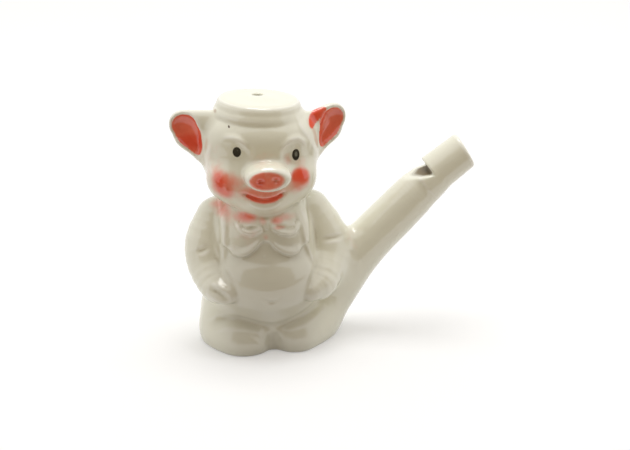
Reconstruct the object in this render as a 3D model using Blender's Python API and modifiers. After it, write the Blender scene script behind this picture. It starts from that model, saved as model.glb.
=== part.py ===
"""Ceramic pig whistle: one slip-cast, glazed casting, in metres with +Z up.

The pig faces -Y and its tail tube rises towards +X. The origin is in the middle of the flat foot.
The outside is modelled as lumps of clay that are fused into one skin and softened. The inside is the
same body and head one wall smaller, with the tail's bore, the filling hole in the cap, the window cut
in the tube and the windway through the mouthpiece, all in one piece of clay.
"""
import math

import bmesh
import bpy
from mathutils import Matrix, Vector

# Clay
WALL = 0.0026
FOOT_THICKNESS = 0.0030
LUMP_GRAIN = 0.0008
LUMP_SOFTENING = 14
SKIN_GRAIN = 0.00055
SKIN_SOFTENING = 4
SKIN_TRIANGLES = 9200
CHAMBER_GRAIN = 0.0012
CHAMBER_TRIANGLES = 1100
SHARP_ANGLE = 50.0

# Trunk: the haunches are a turned drum, the rest are balls of clay
HAUNCH_AT = (0.0012, 0.0003, 0.0060)
HAUNCH_RADII = (0.0185, 0.0160, 0.0120)
HAUNCH_SQUARENESS = 2.8
BELLY_AT = (0.0006, -0.0060, 0.0205)
BELLY_RADII = (0.0155, 0.0152, 0.0128)
CHEST_AT = (0.0008, -0.0015, 0.0315)
CHEST_RADII = (0.0150, 0.0150, 0.0140)
BACK_AT = (0.0010, 0.0020, 0.0240)
BACK_RADII = (0.0170, 0.0135, 0.0200)
LEG_SPREAD = 0.0084
LEG_FORWARD = 0.0074
LEG_HEIGHT = 0.0030
LEG_RADII = (0.0094, 0.0101, 0.0092)

# Arms: each is a limb through shoulder, upper arm, elbow, wrist and hand, measured from the chest
ARM_RIGHT = ((0.0134, 0.0007, 0.0051), (0.0168, -0.0011, -0.0013), (0.0170, -0.0040, -0.0071),
             (0.0146, -0.0107, -0.0125), (0.0114, -0.0147, -0.0141))
ARM_LEFT = ((-0.0132, 0.0007, 0.0045), (-0.0157, -0.0013, -0.0020), (-0.0157, -0.0040, -0.0077),
            (-0.0140, -0.0109, -0.0125), (-0.0112, -0.0151, -0.0137))
ARM_THICKNESS = (0.0057, 0.0065, 0.0062, 0.0052, 0.0036)
HAND_SHARE = 0.45
CUFF_THICKNESS = 0.0057

# Creases pressed into the clay: elbows and fingers are measured from the chest, the navel from the belly
ARM_CREASES = (
    ((-0.0198, -0.0075, -0.0029), (-0.0184, -0.0089, -0.0025), (-0.0158, -0.0093, -0.0017)),
    ((0.0164, -0.0088, -0.0005), (0.0190, -0.0085, -0.0009), (0.0214, -0.0069, -0.0015)),
    ((-0.0160, -0.0163, -0.0112), (-0.0144, -0.0175, -0.0120), (-0.0120, -0.0185, -0.0130)),
    ((0.0158, -0.0155, -0.0110), (0.0142, -0.0169, -0.0119), (0.0120, -0.0183, -0.0129)),
)
NAVEL = ((-0.0027, -0.0152, -0.0021), (-0.0002, -0.0152, -0.0035), (0.0022, -0.0152, -0.0023))
CREASE_THICKNESS = (0.0004, 0.0008, 0.0004)

# Head, and the neck that carries it
NECK_RADIUS = 0.0096
SKULL_AT = (0.0004, 0.0002, 0.0550)
SKULL_RADII = (0.0164, 0.0146, 0.0136)
BROW_RISE = 0.0050
BROW_RADII = (0.0152, 0.0140, 0.0075)
JOWL_DROP = 0.0060
JOWL_FORWARD = 0.0026
JOWL_RADII = (0.0153, 0.0132, 0.0084)
CHIN_DROP = 0.0098
CHIN_FORWARD = 0.0082
CHIN_RADII = (0.0100, 0.0074, 0.0054)
CHEEK_SPREAD = 0.0084
CHEEK_FORWARD = 0.0068
CHEEK_DROP = 0.0063
CHEEK_RADII = (0.0074, 0.0076, 0.0064)
SNOUT_WIDTH = 0.0122
SNOUT_HEIGHT = 0.0072
SNOUT_PROUD = 0.0062
SNOUT_ROOT = 0.0052
SNOUT_DROP = 0.0029
SNOUT_SQUARENESS = 4.0
NOSTRIL_SPREAD = 0.0020
NOSTRIL_RADII = (0.0012, 0.0010, 0.0009)
SOCKET_SPREAD = 0.0078
SOCKET_RISE = 0.0026
SOCKET_RADII = (0.0038, 0.0016, 0.0036)
MOUTH_POINTS = ((-0.0075, -0.0064), (-0.0045, -0.0082), (-0.0004, -0.0094),
                (0.0034, -0.0086), (0.0056, -0.0074))
MOUTH_THICKNESS = (0.0005, 0.0008, 0.0012, 0.0009, 0.0005)

# Ears: a flattened leaf with a cup scooped from its front
EAR_REACH = 0.0198
EAR_RISE = 0.0064
EAR_LENGTH = 0.0086
EAR_LOBE = 0.0055
EAR_ROOT = 0.0024
EAR_FLATNESS = 0.55
EAR_LEAN = 28.0
EAR_TURN = 22.0
EAR_RIM = 0.0009
EAR_CUP_FORWARD = 0.0042

# Cap: a turned pillbox with a groove above its rim, set a little askew
CAP_TOP = 0.0147
CAP_CROWN_RADIUS = 0.0119
CAP_EDGE_ROUNDING = 0.0011
CAP_RIM_RADIUS = 0.0130
CAP_HEIGHT = 0.0048
CAP_GROOVE_DEPTH = 0.0005
CAP_GROOVE_HEIGHT = 0.0008
CAP_TILT = 3.0
FILLING_HOLE = 0.0031
FILLING_HOLE_BACK = 0.0026

# Tail tube in the X-Z plane, its mouthpiece, window and windway
TAIL_PATH = ((0.0170, 0.0064), (0.0218, 0.0133), (0.0266, 0.0202), (0.0321, 0.0268),
             (0.0386, 0.0333), (0.0455, 0.0403), (0.0502, 0.0448))
TAIL_RADIUS = 0.0063
TAIL_FLARE = 0.0013
MOUTHPIECE_LENGTH = 0.0112
MOUTHPIECE_ANGLE = 38.0
MOUTHPIECE_RADIUS = 0.0061
MOUTHPIECE_TIP_RADIUS = 0.0053
MOUTHPIECE_SEAT = 0.0030
BORE_RADIUS = 0.0043
BORE_LIFT = 0.0007
WINDOW_DEPTH = 0.0031
RAMP_SLOPE = 15.0
WINDWAY_WIDTH = 0.0050
WINDWAY_HEIGHT = 0.0013

# Dress in low relief: bow, waistcoat and jacket fronts, the last measured from the chest
DRESS_MIDDLE = -0.0009
BOW_HEIGHT = 0.0064
BOW_SPREAD = 0.0046
BOW_PROUD = 0.0026
BOW_LOBE = (0.0037, 0.0024, 0.0026)
BOW_KNOT = (0.0014, 0.0026, 0.0018)
VEST_HEIGHT = 0.0042
VEST_SPREAD = 0.0056
VEST_PROUD = 0.0010
VEST_PANEL = (0.0059, 0.0068)
LAPEL_LEFT = ((-0.0118, -0.0050, 0.0085), (-0.0130, -0.0063, 0.0040), (-0.0129, -0.0079, -0.0005),
              (-0.0126, -0.0093, -0.0036), (-0.0129, -0.0108, -0.0057))
LAPEL_RIGHT = ((0.0102, -0.0060, 0.0085), (0.0113, -0.0080, 0.0040), (0.0123, -0.0085, -0.0010),
               (0.0131, -0.0095, -0.0045), (0.0133, -0.0113, -0.0071))
LAPEL_THICKNESS = (0.0010, 0.0019, 0.0022, 0.0018, 0.0006)

CREAM_GLAZE = (0.82, 0.80, 0.72, 1.0)


def clear_scene():
    """Empty the scene."""
    for obj in list(bpy.data.objects):
        bpy.data.objects.remove(obj, do_unlink=True)


def new_collection(name):
    """A collection linked to the scene."""
    collection = bpy.data.collections.new(name)
    bpy.context.scene.collection.children.link(collection)
    return collection


def add_object(name, mesh, place=Matrix()):
    """An object with this mesh, in the clay's collection."""
    obj = bpy.data.objects.new(name, mesh)
    obj.matrix_world = place
    CLAY.objects.link(obj)
    return obj


def shifted(point, x=0.0, y=0.0, z=0.0):
    """A point moved by an offset."""
    return Vector(point) + Vector((x, y, z))


def ball(name, centre, radii, turn=Matrix()):
    """A ball of clay: a sphere stretched to three radii, then turned."""
    mesh = bpy.data.meshes.new(name)
    shape = bmesh.new()
    place = Matrix.Translation(centre) @ turn @ Matrix.Diagonal((*radii, 1.0))
    bmesh.ops.create_uvsphere(shape, u_segments=40, v_segments=24, radius=1.0, matrix=place)
    shape.to_mesh(mesh)
    shape.free()
    return add_object(name, mesh)


def turned(name, profile, place=Matrix()):
    """A profile of (radius, height), from its top to its foot, turned about Z."""
    mesh = bpy.data.meshes.new(name)
    points = [(radius, 0.0, height) for radius, height in profile]
    edges = [(index, index + 1) for index in range(len(points) - 1)]
    mesh.from_pydata(points, edges, [])
    obj = add_object(name, mesh, place)
    screw = obj.modifiers.new("Turn", "SCREW")
    screw.steps = 48
    screw.render_steps = 48
    screw.use_merge_vertices = True
    screw.merge_threshold = 0.00001
    return frozen(obj)


def drum(name, centre, radii, squareness, turn=Matrix()):
    """A drum with soft shoulders: across it is round, and along Z it follows a superellipse."""
    profile = []
    for step in range(25):
        angle = math.pi * step / 24
        height = math.copysign(abs(math.cos(angle)) ** (2.0 / squareness), math.cos(angle))
        radius = math.sin(angle) ** (2.0 / squareness) if 0 < step < 24 else 0.0
        profile.append((radius, height))
    return turned(name, profile, Matrix.Translation(centre) @ turn @ Matrix.Diagonal((*radii, 1.0)))


def limb(name, points, thickness, place=Matrix()):
    """A limb: a smooth curve through the points, as thick as each point says, with round ends."""
    data = bpy.data.curves.new(name, "CURVE")
    data.dimensions = "3D"
    data.bevel_depth = 1.0
    data.bevel_resolution = 6
    data.use_fill_caps = True
    data.resolution_u = 8
    spline = data.splines.new("BEZIER")
    spline.bezier_points.add(len(points) - 1)
    for knot, point, radius in zip(spline.bezier_points, points, thickness):
        knot.co = point
        knot.radius = radius
        knot.handle_left_type = "AUTO"
        knot.handle_right_type = "AUTO"
    obj = bpy.data.objects.new(name, data)
    obj.matrix_world = place
    CLAY.objects.link(obj)
    ends = [ball(name + "_end", points[index], (thickness[index],) * 3) for index in (0, -1)]
    for end in ends:
        end.matrix_world = place
    return joined(name, [frozen(obj), *ends])


def path_limb(name, base, path, thickness):
    """A limb whose path is measured from this base point."""
    return limb(name, [shifted(base, *point) for point in path], thickness)


def rod(name, radius, length, place, tip_radius=None):
    """A round rod about its own Z, tapered where it has a tip radius."""
    mesh = bpy.data.meshes.new(name)
    shape = bmesh.new()
    bmesh.ops.create_cone(shape, cap_ends=True, segments=48, radius1=radius,
                          radius2=radius if tip_radius is None else tip_radius, depth=length)
    shape.to_mesh(mesh)
    shape.free()
    return frozen(add_object(name, mesh, place))


def prism(name, outline, half_width):
    """A flat outline in the X-Z plane, as wide as half_width to each side of it."""
    data = bpy.data.curves.new(name, "CURVE")
    data.dimensions = "2D"
    data.fill_mode = "BOTH"
    data.extrude = half_width
    spline = data.splines.new("POLY")
    spline.points.add(len(outline) - 1)
    for knot, (x, z) in zip(spline.points, outline):
        knot.co = (x, z, 0.0, 1.0)
    spline.use_cyclic_u = True
    obj = bpy.data.objects.new(name, data)
    obj.matrix_world = Matrix.Rotation(math.radians(90.0), 4, "X")
    CLAY.objects.link(obj)
    return frozen(obj)


def frozen(obj):
    """The object as a plain welded mesh with its modifiers and its place applied."""
    bpy.context.view_layer.update()
    evaluated = obj.evaluated_get(bpy.context.evaluated_depsgraph_get())
    mesh = bpy.data.meshes.new_from_object(evaluated)
    shape = bmesh.new()
    shape.from_mesh(mesh)
    shape.transform(obj.matrix_world)
    bmesh.ops.remove_doubles(shape, verts=shape.verts, dist=0.0000005)
    bmesh.ops.recalc_face_normals(shape, faces=shape.faces)
    shape.to_mesh(mesh)
    shape.free()
    name = obj.name
    bpy.data.objects.remove(obj, do_unlink=True)
    return add_object(name, mesh)


def joined(name, objects):
    """Several objects as one object, their surfaces still separate."""
    shape = bmesh.new()
    for obj in objects:
        start = len(shape.verts)
        shape.from_mesh(obj.data)
        shape.verts.ensure_lookup_table()
        bmesh.ops.transform(shape, matrix=obj.matrix_world, verts=shape.verts[start:])
        bpy.data.objects.remove(obj, do_unlink=True)
    mesh = bpy.data.meshes.new(name)
    shape.to_mesh(mesh)
    shape.free()
    return add_object(name, mesh)


def fuse(obj, grain):
    """Melt overlapping lumps into one skin, sampled at the clay's grain."""
    remesh = obj.modifiers.new("Fuse", "REMESH")
    remesh.mode = "VOXEL"
    remesh.voxel_size = grain


def soften(obj, passes):
    """Round the creases and edges, as wet clay and glaze do."""
    smooth = obj.modifiers.new("Soften", "SMOOTH")
    smooth.factor = 0.5
    smooth.iterations = passes


def thin_out(obj, triangles):
    """Lower the number of triangles, which are largest where the skin is flat."""
    decimate = obj.modifiers.new("Thin out", "DECIMATE")
    decimate.ratio = min(1.0, triangles / sum(len(face.vertices) - 2 for face in obj.data.polygons))


def cut(obj, cutter):
    """Take the cutter's shape away, with the cutter kept apart as a guide."""
    boolean = obj.modifiers.new("Cut " + cutter.name, "BOOLEAN")
    boolean.operation = "DIFFERENCE"
    boolean.solver = "EXACT"
    boolean.object = cutter
    cutter.hide_render = True
    cutter.display_type = "WIRE"
    if cutter.name not in CUTTERS.objects:
        CLAY.objects.unlink(cutter)
        CUTTERS.objects.link(cutter)


def front_of(centre, radii, x, z):
    """The point and the outward direction on the front of a ball of clay, at x and z from its middle."""
    depth = radii[1] * math.sqrt(max(0.0, 1.0 - (x / radii[0]) ** 2 - (z / radii[2]) ** 2))
    outward = Vector((x / radii[0] ** 2, -depth / radii[1] ** 2, z / radii[2] ** 2)).normalized()
    return shifted(centre, x, -depth, z), outward


def facing(outward):
    """The turn that brings -Y to this direction, with X kept level."""
    across = Vector((0.0, 0.0, 1.0)).cross(outward).normalized()
    upward = outward.cross(across)
    return Matrix((across, -outward, upward)).transposed().to_4x4()


def pad(name, centre, radii, x, z, size, proud):
    """A flat pad lying on the front of a ball of clay and standing this proud of it."""
    point, outward = front_of(centre, radii, x, z)
    return ball(name, point + outward * (proud - size[1]), size, facing(outward))


def smaller(radii, inset):
    """Radii one inset smaller all round."""
    return tuple(radius - inset for radius in radii)


def trunk(inset=0.0):
    """Haunches, belly, chest and back, each one inset smaller than the outside."""
    return [
        drum("haunches", HAUNCH_AT, smaller(HAUNCH_RADII, inset), HAUNCH_SQUARENESS),
        ball("belly", BELLY_AT, smaller(BELLY_RADII, inset)),
        ball("chest", CHEST_AT, smaller(CHEST_RADII, inset)),
        ball("back", BACK_AT, smaller(BACK_RADII, inset)),
    ]


def head(inset=0.0):
    """Skull, brow and jowls, each one inset smaller than the outside."""
    return [
        ball("skull", SKULL_AT, smaller(SKULL_RADII, inset)),
        ball("brow", shifted(SKULL_AT, z=BROW_RISE), smaller(BROW_RADII, inset)),
        ball("jowls", shifted(SKULL_AT, y=-JOWL_FORWARD, z=-JOWL_DROP), smaller(JOWL_RADII, inset)),
    ]


def neck(inset=0.0):
    """A round neck from the middle of the chest to the middle of the skull, one inset smaller."""
    return limb("neck", [Vector(CHEST_AT), Vector(SKULL_AT)], (NECK_RADIUS - inset,) * 2)


def legs():
    """Two feet side by side under the belly."""
    feet = []
    for side in (-1, 1):
        feet.append(ball("leg", (HAUNCH_AT[0] + side * LEG_SPREAD, -LEG_FORWARD, LEG_HEIGHT), LEG_RADII))
    return feet


def arms():
    """Both arms, hung from the chest, with the hands on the belly and a cuff at each wrist."""
    limbs = []
    for path in (ARM_LEFT, ARM_RIGHT):
        limbs.append(path_limb("arm", CHEST_AT, path, ARM_THICKNESS))
        wrist, hand = [shifted(CHEST_AT, *point) for point in path[-2:]]
        cuff_end = wrist.lerp(hand, HAND_SHARE)
        place = Matrix.Translation((wrist + cuff_end) / 2.0)
        turn = (hand - wrist).to_track_quat("Z", "Y").to_matrix().to_4x4()
        limbs.append(rod("cuff", CUFF_THICKNESS, (cuff_end - wrist).length, place @ turn))
    return limbs


def face():
    """Chin and cheeks."""
    lumps = [ball("chin", shifted(SKULL_AT, y=-CHIN_FORWARD, z=-CHIN_DROP), CHIN_RADII)]
    for side in (-1, 1):
        cheek = shifted(SKULL_AT, side * CHEEK_SPREAD, -CHEEK_FORWARD, -CHEEK_DROP)
        lumps.append(ball("cheek", cheek, CHEEK_RADII))
    return lumps


def snout():
    """An oval drum standing out of the face, with its flat end forwards."""
    half_depth = (SNOUT_PROUD + SNOUT_ROOT) / 2.0
    root, _ = front_of(SKULL_AT, SKULL_RADII, 0.0, -SNOUT_DROP)
    middle = shifted(root, y=-SNOUT_PROUD + half_depth)
    radii = (SNOUT_WIDTH / 2.0, SNOUT_HEIGHT / 2.0, half_depth)
    return drum("snout", middle, radii, SNOUT_SQUARENESS, Matrix.Rotation(math.radians(90.0), 4, "X"))


def face_hollows():
    """Eye sockets, nostrils and the crescent of the mouth."""
    hollows = []
    root, _ = front_of(SKULL_AT, SKULL_RADII, 0.0, -SNOUT_DROP)
    for side in (-1, 1):
        point, outward = front_of(SKULL_AT, SKULL_RADII, side * SOCKET_SPREAD, SOCKET_RISE)
        hollows.append(ball("socket", point + outward * SOCKET_RADII[1] * 0.4, SOCKET_RADII, facing(outward)))
        nostril = shifted(root, side * NOSTRIL_SPREAD, -SNOUT_PROUD)
        hollows.append(ball("nostril", nostril, NOSTRIL_RADII))
    jowls = shifted(SKULL_AT, y=-JOWL_FORWARD, z=-JOWL_DROP)
    smile = [front_of(jowls, JOWL_RADII, x, z + JOWL_DROP)[0] for x, z in MOUTH_POINTS]
    hollows.append(limb("mouth", smile, MOUTH_THICKNESS))
    return hollows


def ear_place(side):
    """The ear's own frame: leant outwards and turned to face forwards and outwards."""
    turn = Matrix.Rotation(math.radians(EAR_TURN * side), 4, "Z")
    turn = turn @ Matrix.Rotation(math.radians(EAR_LEAN * side), 4, "Y")
    centre = shifted(SKULL_AT, side * EAR_REACH, z=EAR_RISE)
    return Matrix.Translation(centre) @ turn @ Matrix.Diagonal((1.0, EAR_FLATNESS, 1.0, 1.0))


def ear(side):
    """One leaf, thickest in its lobe."""
    return limb("ear", [(0.0, 0.0, 0.0), (0.0, 0.0, -EAR_LENGTH)], (EAR_LOBE, EAR_ROOT), ear_place(side))


def ear_cup(side):
    """The hollow in the front of the leaf, one rim narrower than it."""
    root_forward = EAR_CUP_FORWARD * EAR_ROOT / EAR_LOBE
    points = [(0.0, -EAR_CUP_FORWARD, 0.0), (0.0, -root_forward, -EAR_LENGTH)]
    return limb("ear_cup", points, (EAR_LOBE - EAR_RIM, EAR_ROOT - EAR_RIM), ear_place(side))


def cap_place():
    """The cap's own frame: its crown's middle, askew about Y."""
    top = shifted(SKULL_AT, z=CAP_TOP)
    return Matrix.Translation(top) @ Matrix.Rotation(math.radians(CAP_TILT), 4, "Y")


def cap():
    """A flat crown with a rounded edge, a groove above the rim, and a body sunk in the head."""
    profile = [(0.0, 0.0)]
    for step in range(7):
        angle = math.radians(90.0 - 15.0 * step)
        across = CAP_CROWN_RADIUS - CAP_EDGE_ROUNDING + CAP_EDGE_ROUNDING * math.cos(angle)
        profile.append((across, -CAP_EDGE_ROUNDING + CAP_EDGE_ROUNDING * math.sin(angle)))
    groove = -CAP_HEIGHT + 2.0 * CAP_GROOVE_HEIGHT
    profile += [
        (CAP_RIM_RADIUS - CAP_GROOVE_DEPTH, groove + CAP_GROOVE_HEIGHT),
        (CAP_RIM_RADIUS - 1.5 * CAP_GROOVE_DEPTH, groove),
        (CAP_RIM_RADIUS, groove - CAP_GROOVE_HEIGHT),
        (CAP_RIM_RADIUS, -CAP_HEIGHT),
        (CAP_CROWN_RADIUS, -2.0 * CAP_HEIGHT),
        (0.0, -2.0 * CAP_HEIGHT),
    ]
    return turned("cap", profile, cap_place())


def filling_hole():
    """The round hole through the crown into the head."""
    length = 2.0 * (CAP_TOP - SKULL_RADII[2] + 4.0 * WALL)
    place = cap_place() @ Matrix.Translation((0.0, FILLING_HOLE_BACK, 0.0))
    return rod("filling_hole", FILLING_HOLE / 2.0, length, place)


def mouth_axis():
    """The mouthpiece's start, its direction and the direction across it, upwards."""
    slope = math.radians(MOUTHPIECE_ANGLE)
    along = Vector((math.cos(slope), 0.0, math.sin(slope)))
    upward = Vector((-math.sin(slope), 0.0, math.cos(slope)))
    tube_end = Vector((TAIL_PATH[-1][0], 0.0, TAIL_PATH[-1][1]))
    return tube_end, along, upward


def tail():
    """The tube, flared at its root, and the tapered mouthpiece seated in its end."""
    points = [(x, 0.0, z) for x, z in TAIL_PATH]
    last = len(points) - 1
    thickness = [TAIL_RADIUS + TAIL_FLARE * (1.0 - index / last) ** 2 for index in range(len(points))]
    start, along, _ = mouth_axis()
    length = MOUTHPIECE_LENGTH + MOUTHPIECE_SEAT
    middle = start + along * (MOUTHPIECE_LENGTH - MOUTHPIECE_SEAT) / 2.0
    place = Matrix.Translation(middle) @ along.to_track_quat("Z", "Y").to_matrix().to_4x4()
    mouthpiece = rod("mouthpiece", MOUTHPIECE_RADIUS, length, place, MOUTHPIECE_TIP_RADIUS)
    return [limb("tail", points, thickness), mouthpiece]


def bore():
    """The tail's bore, from inside the chamber to the mouthpiece's block, where it rises to the window."""
    start, _, upward = mouth_axis()
    inside = Vector((HAUNCH_AT[0], 0.0, FOOT_THICKNESS + 2.0 * BORE_RADIUS))
    points = [inside, *[(x, 0.0, z) for x, z in TAIL_PATH[1:-1]], start + upward * BORE_LIFT]
    data = bpy.data.curves.new("bore", "CURVE")
    data.dimensions = "3D"
    data.bevel_depth = BORE_RADIUS
    data.bevel_resolution = 4
    data.use_fill_caps = True
    data.resolution_u = 4
    spline = data.splines.new("BEZIER")
    spline.bezier_points.add(len(points) - 1)
    for knot, point in zip(spline.bezier_points, points):
        knot.co = point
        knot.handle_left_type = "AUTO"
        knot.handle_right_type = "AUTO"
    obj = bpy.data.objects.new("bore", data)
    CLAY.objects.link(obj)
    return frozen(obj)


def window():
    """The sounding hole: a ramp up to the mouthpiece's face, cut across the top of the tube."""
    start, _, upward = mouth_axis()
    corner = start + upward * (MOUTHPIECE_RADIUS - WINDOW_DEPTH)
    reach = 2.5 * TAIL_RADIUS
    slope = math.radians(RAMP_SLOPE)
    ramp_end = corner - Vector((math.cos(slope), 0.0, math.sin(slope))) * reach
    face_end = corner + upward * reach
    above_ramp = (ramp_end.x, face_end.z)
    outline = [(corner.x, corner.z), (face_end.x, face_end.z), above_ramp, (ramp_end.x, ramp_end.z)]
    return prism("window", outline, 1.5 * TAIL_RADIUS)


def windway():
    """The flat slot that leads breath from the tip to the window's edge."""
    start, along, upward = mouth_axis()
    corner = start + upward * (MOUTHPIECE_RADIUS - WINDOW_DEPTH + 0.5 * WINDWAY_HEIGHT)
    tip = start + along * (MOUTHPIECE_LENGTH + WALL) + upward * 0.25 * MOUTHPIECE_TIP_RADIUS
    direction = tip - corner
    inner = corner - direction.normalized() * WALL * 0.5
    shape = bmesh.new()
    bmesh.ops.create_cube(shape, size=1.0)
    mesh = bpy.data.meshes.new("windway")
    shape.to_mesh(mesh)
    shape.free()
    size = Matrix.Diagonal((WINDWAY_WIDTH, WINDWAY_HEIGHT, (tip - inner).length, 1.0))
    middle = (tip + inner) / 2.0
    place = Matrix.Translation(middle) @ direction.to_track_quat("Z", "Y").to_matrix().to_4x4() @ size
    return frozen(add_object("windway", mesh, place))


def vest_panel(side):
    """One scalloped front of the waistcoat: the chest a little larger, within an oval seen from the front."""
    panel = ball("vest", CHEST_AT, smaller(CHEST_RADII, -VEST_PROUD))
    depth = 2.0 * CHEST_RADII[1]
    centre = shifted(CHEST_AT, DRESS_MIDDLE + side * VEST_SPREAD, -depth / 2.0, VEST_HEIGHT)
    size = Matrix.Diagonal((VEST_PANEL[0], depth / 2.0, VEST_PANEL[1], 1.0))
    turn = Matrix.Rotation(math.radians(90.0), 4, "X")
    oval = rod("vest_oval", 1.0, 2.0, Matrix.Translation(centre) @ size @ turn)
    overlap = panel.modifiers.new("Oval", "BOOLEAN")
    overlap.operation = "INTERSECT"
    overlap.solver = "EXACT"
    overlap.object = oval
    panel = frozen(panel)
    bpy.data.objects.remove(oval, do_unlink=True)
    return panel


def dress():
    """Bow, waistcoat and the jacket's two fronts, in low relief on the chest."""
    pieces = [pad("bow_knot", CHEST_AT, CHEST_RADII, DRESS_MIDDLE, BOW_HEIGHT, BOW_KNOT, BOW_PROUD)]
    for side in (-1, 1):
        across = DRESS_MIDDLE + side * BOW_SPREAD
        pieces.append(pad("bow_lobe", CHEST_AT, CHEST_RADII, across, BOW_HEIGHT, BOW_LOBE, BOW_PROUD))
        pieces.append(vest_panel(side))
    for path in (LAPEL_LEFT, LAPEL_RIGHT):
        pieces.append(path_limb("lapel", CHEST_AT, path, LAPEL_THICKNESS))
    return pieces


def chamber():
    """The water chamber: the body and the head one wall smaller, down to the foot's floor."""
    hollow = joined("chamber", [*trunk(WALL), *head(WALL), neck(WALL)])
    fuse(hollow, CHAMBER_GRAIN)
    hollow = frozen(hollow)
    thin_out(hollow, CHAMBER_TRIANGLES)
    hollow = frozen(hollow)
    cut(hollow, slab("chamber_floor", FOOT_THICKNESS))
    return frozen(hollow)


def slab(name, top):
    """Everything below this height."""
    reach = 4.0 * HAUNCH_RADII[0]
    outline = [(-reach, top), (reach, top), (reach, top - reach), (-reach, top - reach)]
    return prism(name, outline, reach)


def glaze():
    """The cream-white glaze."""
    material = bpy.data.materials.new("cream_glaze")
    material.use_nodes = True
    shader = material.node_tree.nodes["Principled BSDF"]
    shader.inputs["Base Color"].default_value = CREAM_GLAZE
    shader.inputs["Roughness"].default_value = 0.12
    shader.inputs["Metallic"].default_value = 0.0
    return material


def lumps():
    """Trunk, feet, neck and head as one softly joined lump."""
    clay = joined("lumps", [*trunk(), *legs(), neck(), *head(), *face()])
    fuse(clay, LUMP_GRAIN)
    soften(clay, LUMP_SOFTENING)
    return frozen(clay)


def creases():
    """Elbow creases, finger lines and the navel."""
    lines = [path_limb("crease", CHEST_AT, path, CREASE_THICKNESS) for path in ARM_CREASES]
    return [*lines, path_limb("navel", BELLY_AT, NAVEL, CREASE_THICKNESS)]


def scoops():
    """Every hollow pressed into the outside, as one shape."""
    clay = joined("scoops", [*face_hollows(), ear_cup(-1), ear_cup(1), *creases()])
    fuse(clay, SKIN_GRAIN)
    return frozen(clay)


def pig_whistle():
    """The whole casting."""
    skin = joined("pig_whistle", [lumps(), *arms(), snout(), ear(-1), ear(1), cap(), *tail(), *dress()])
    fuse(skin, SKIN_GRAIN)
    cut(skin, scoops())
    fuse(skin, SKIN_GRAIN)
    soften(skin, SKIN_SOFTENING)
    skin = frozen(skin)
    thin_out(skin, SKIN_TRIANGLES)
    skin = frozen(skin)
    for cutter in (slab("foot", 0.0), chamber(), bore(), filling_hole(), window(), windway()):
        cut(skin, cutter)
    skin = frozen(skin)
    skin.data.materials.append(glaze())
    skin.data.shade_smooth()
    skin.data.set_sharp_from_angle(angle=math.radians(SHARP_ANGLE))
    return skin


clear_scene()
CLAY = new_collection("ceramic_pig_whistle")
CUTTERS = new_collection("cutters")
pig_whistle()
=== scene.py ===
# %% [markdown]
# # A ceramic pig whistle
# The object is one slip-cast piece of porcelain: a sitting pig in a flat cap and an open jacket, whose tail
# is a hollow tube to blow through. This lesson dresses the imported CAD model. It reads the model as a fixed
# frame, works out the pig's glazed skin with numpy, and gives it a glaze with coral and black paint.

# %% The frame
import math

import bpy
import numpy as np
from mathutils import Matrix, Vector


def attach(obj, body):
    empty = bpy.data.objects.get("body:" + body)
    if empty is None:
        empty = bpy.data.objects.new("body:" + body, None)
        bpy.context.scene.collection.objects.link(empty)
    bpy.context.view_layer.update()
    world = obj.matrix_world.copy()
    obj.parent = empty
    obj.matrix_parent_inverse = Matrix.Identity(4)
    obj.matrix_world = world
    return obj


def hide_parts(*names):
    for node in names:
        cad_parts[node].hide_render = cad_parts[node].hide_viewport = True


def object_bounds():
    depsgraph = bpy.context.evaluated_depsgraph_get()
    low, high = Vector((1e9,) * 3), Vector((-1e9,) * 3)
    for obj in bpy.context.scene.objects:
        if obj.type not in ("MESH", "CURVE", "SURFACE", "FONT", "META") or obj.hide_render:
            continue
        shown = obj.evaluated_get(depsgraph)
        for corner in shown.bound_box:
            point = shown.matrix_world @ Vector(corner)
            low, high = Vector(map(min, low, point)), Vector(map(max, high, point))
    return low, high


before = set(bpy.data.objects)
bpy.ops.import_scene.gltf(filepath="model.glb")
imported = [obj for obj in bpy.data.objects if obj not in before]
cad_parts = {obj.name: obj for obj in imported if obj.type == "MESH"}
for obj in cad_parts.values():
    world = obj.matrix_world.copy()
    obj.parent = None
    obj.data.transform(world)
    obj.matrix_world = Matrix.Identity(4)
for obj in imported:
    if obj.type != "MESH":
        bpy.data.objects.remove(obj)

cad_low, cad_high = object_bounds()

# %% [markdown]
# ## The camera
# The photograph looks slightly down on the pig from a little left of straight ahead, through a long lens.
# The camera stands on a circle round a point near the pig's middle, so it is worked out from an azimuth, an
# elevation and a reach. Left and right, here and below, are the picture's, so left is towards less x.

# %% The camera
AIM = Vector((0.01584, 0.0, 0.03157))
REACH = 0.42375
azimuth = math.radians(-9.0)
elevation = math.radians(20.0)
level = math.cos(elevation)
backward = Vector((math.sin(azimuth) * level, -math.cos(azimuth) * level, math.sin(elevation)))
camera_data = bpy.data.cameras.new("camera")
camera_data.lens = 85.0
camera_data.sensor_width = 36.0
camera_data.clip_start = 0.01
camera = bpy.data.objects.new("camera", camera_data)
bpy.context.scene.collection.objects.link(camera)
camera.location = AIM + backward * REACH
camera.rotation_euler = backward.to_track_quat("Z", "Y").to_euler()
bpy.context.scene.camera = camera
print("The camera stands at", [round(value, 4) for value in camera.location])

# %% [markdown]
# ## Clay as a field of distances
# Slip-cast clay has no hard joins: a cheek flows into the head, and an arm into the body. Grids that run
# through each other would show a crease at every join, so the clay is described by a distance instead. Each
# form gives, for any point, how far the point lies outside it, in millimetres, and less than zero means
# inside. Distances join softly: where two forms are about as near, the joint distance drops a little, which
# fills the corner between them. All the numbers of the clay are in millimetres, from the frame's origin.

# %% Forms as distances
FAR = 99.0


def rows(*values):
    """A point or a size as an array."""
    return np.array(values, float)


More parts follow.
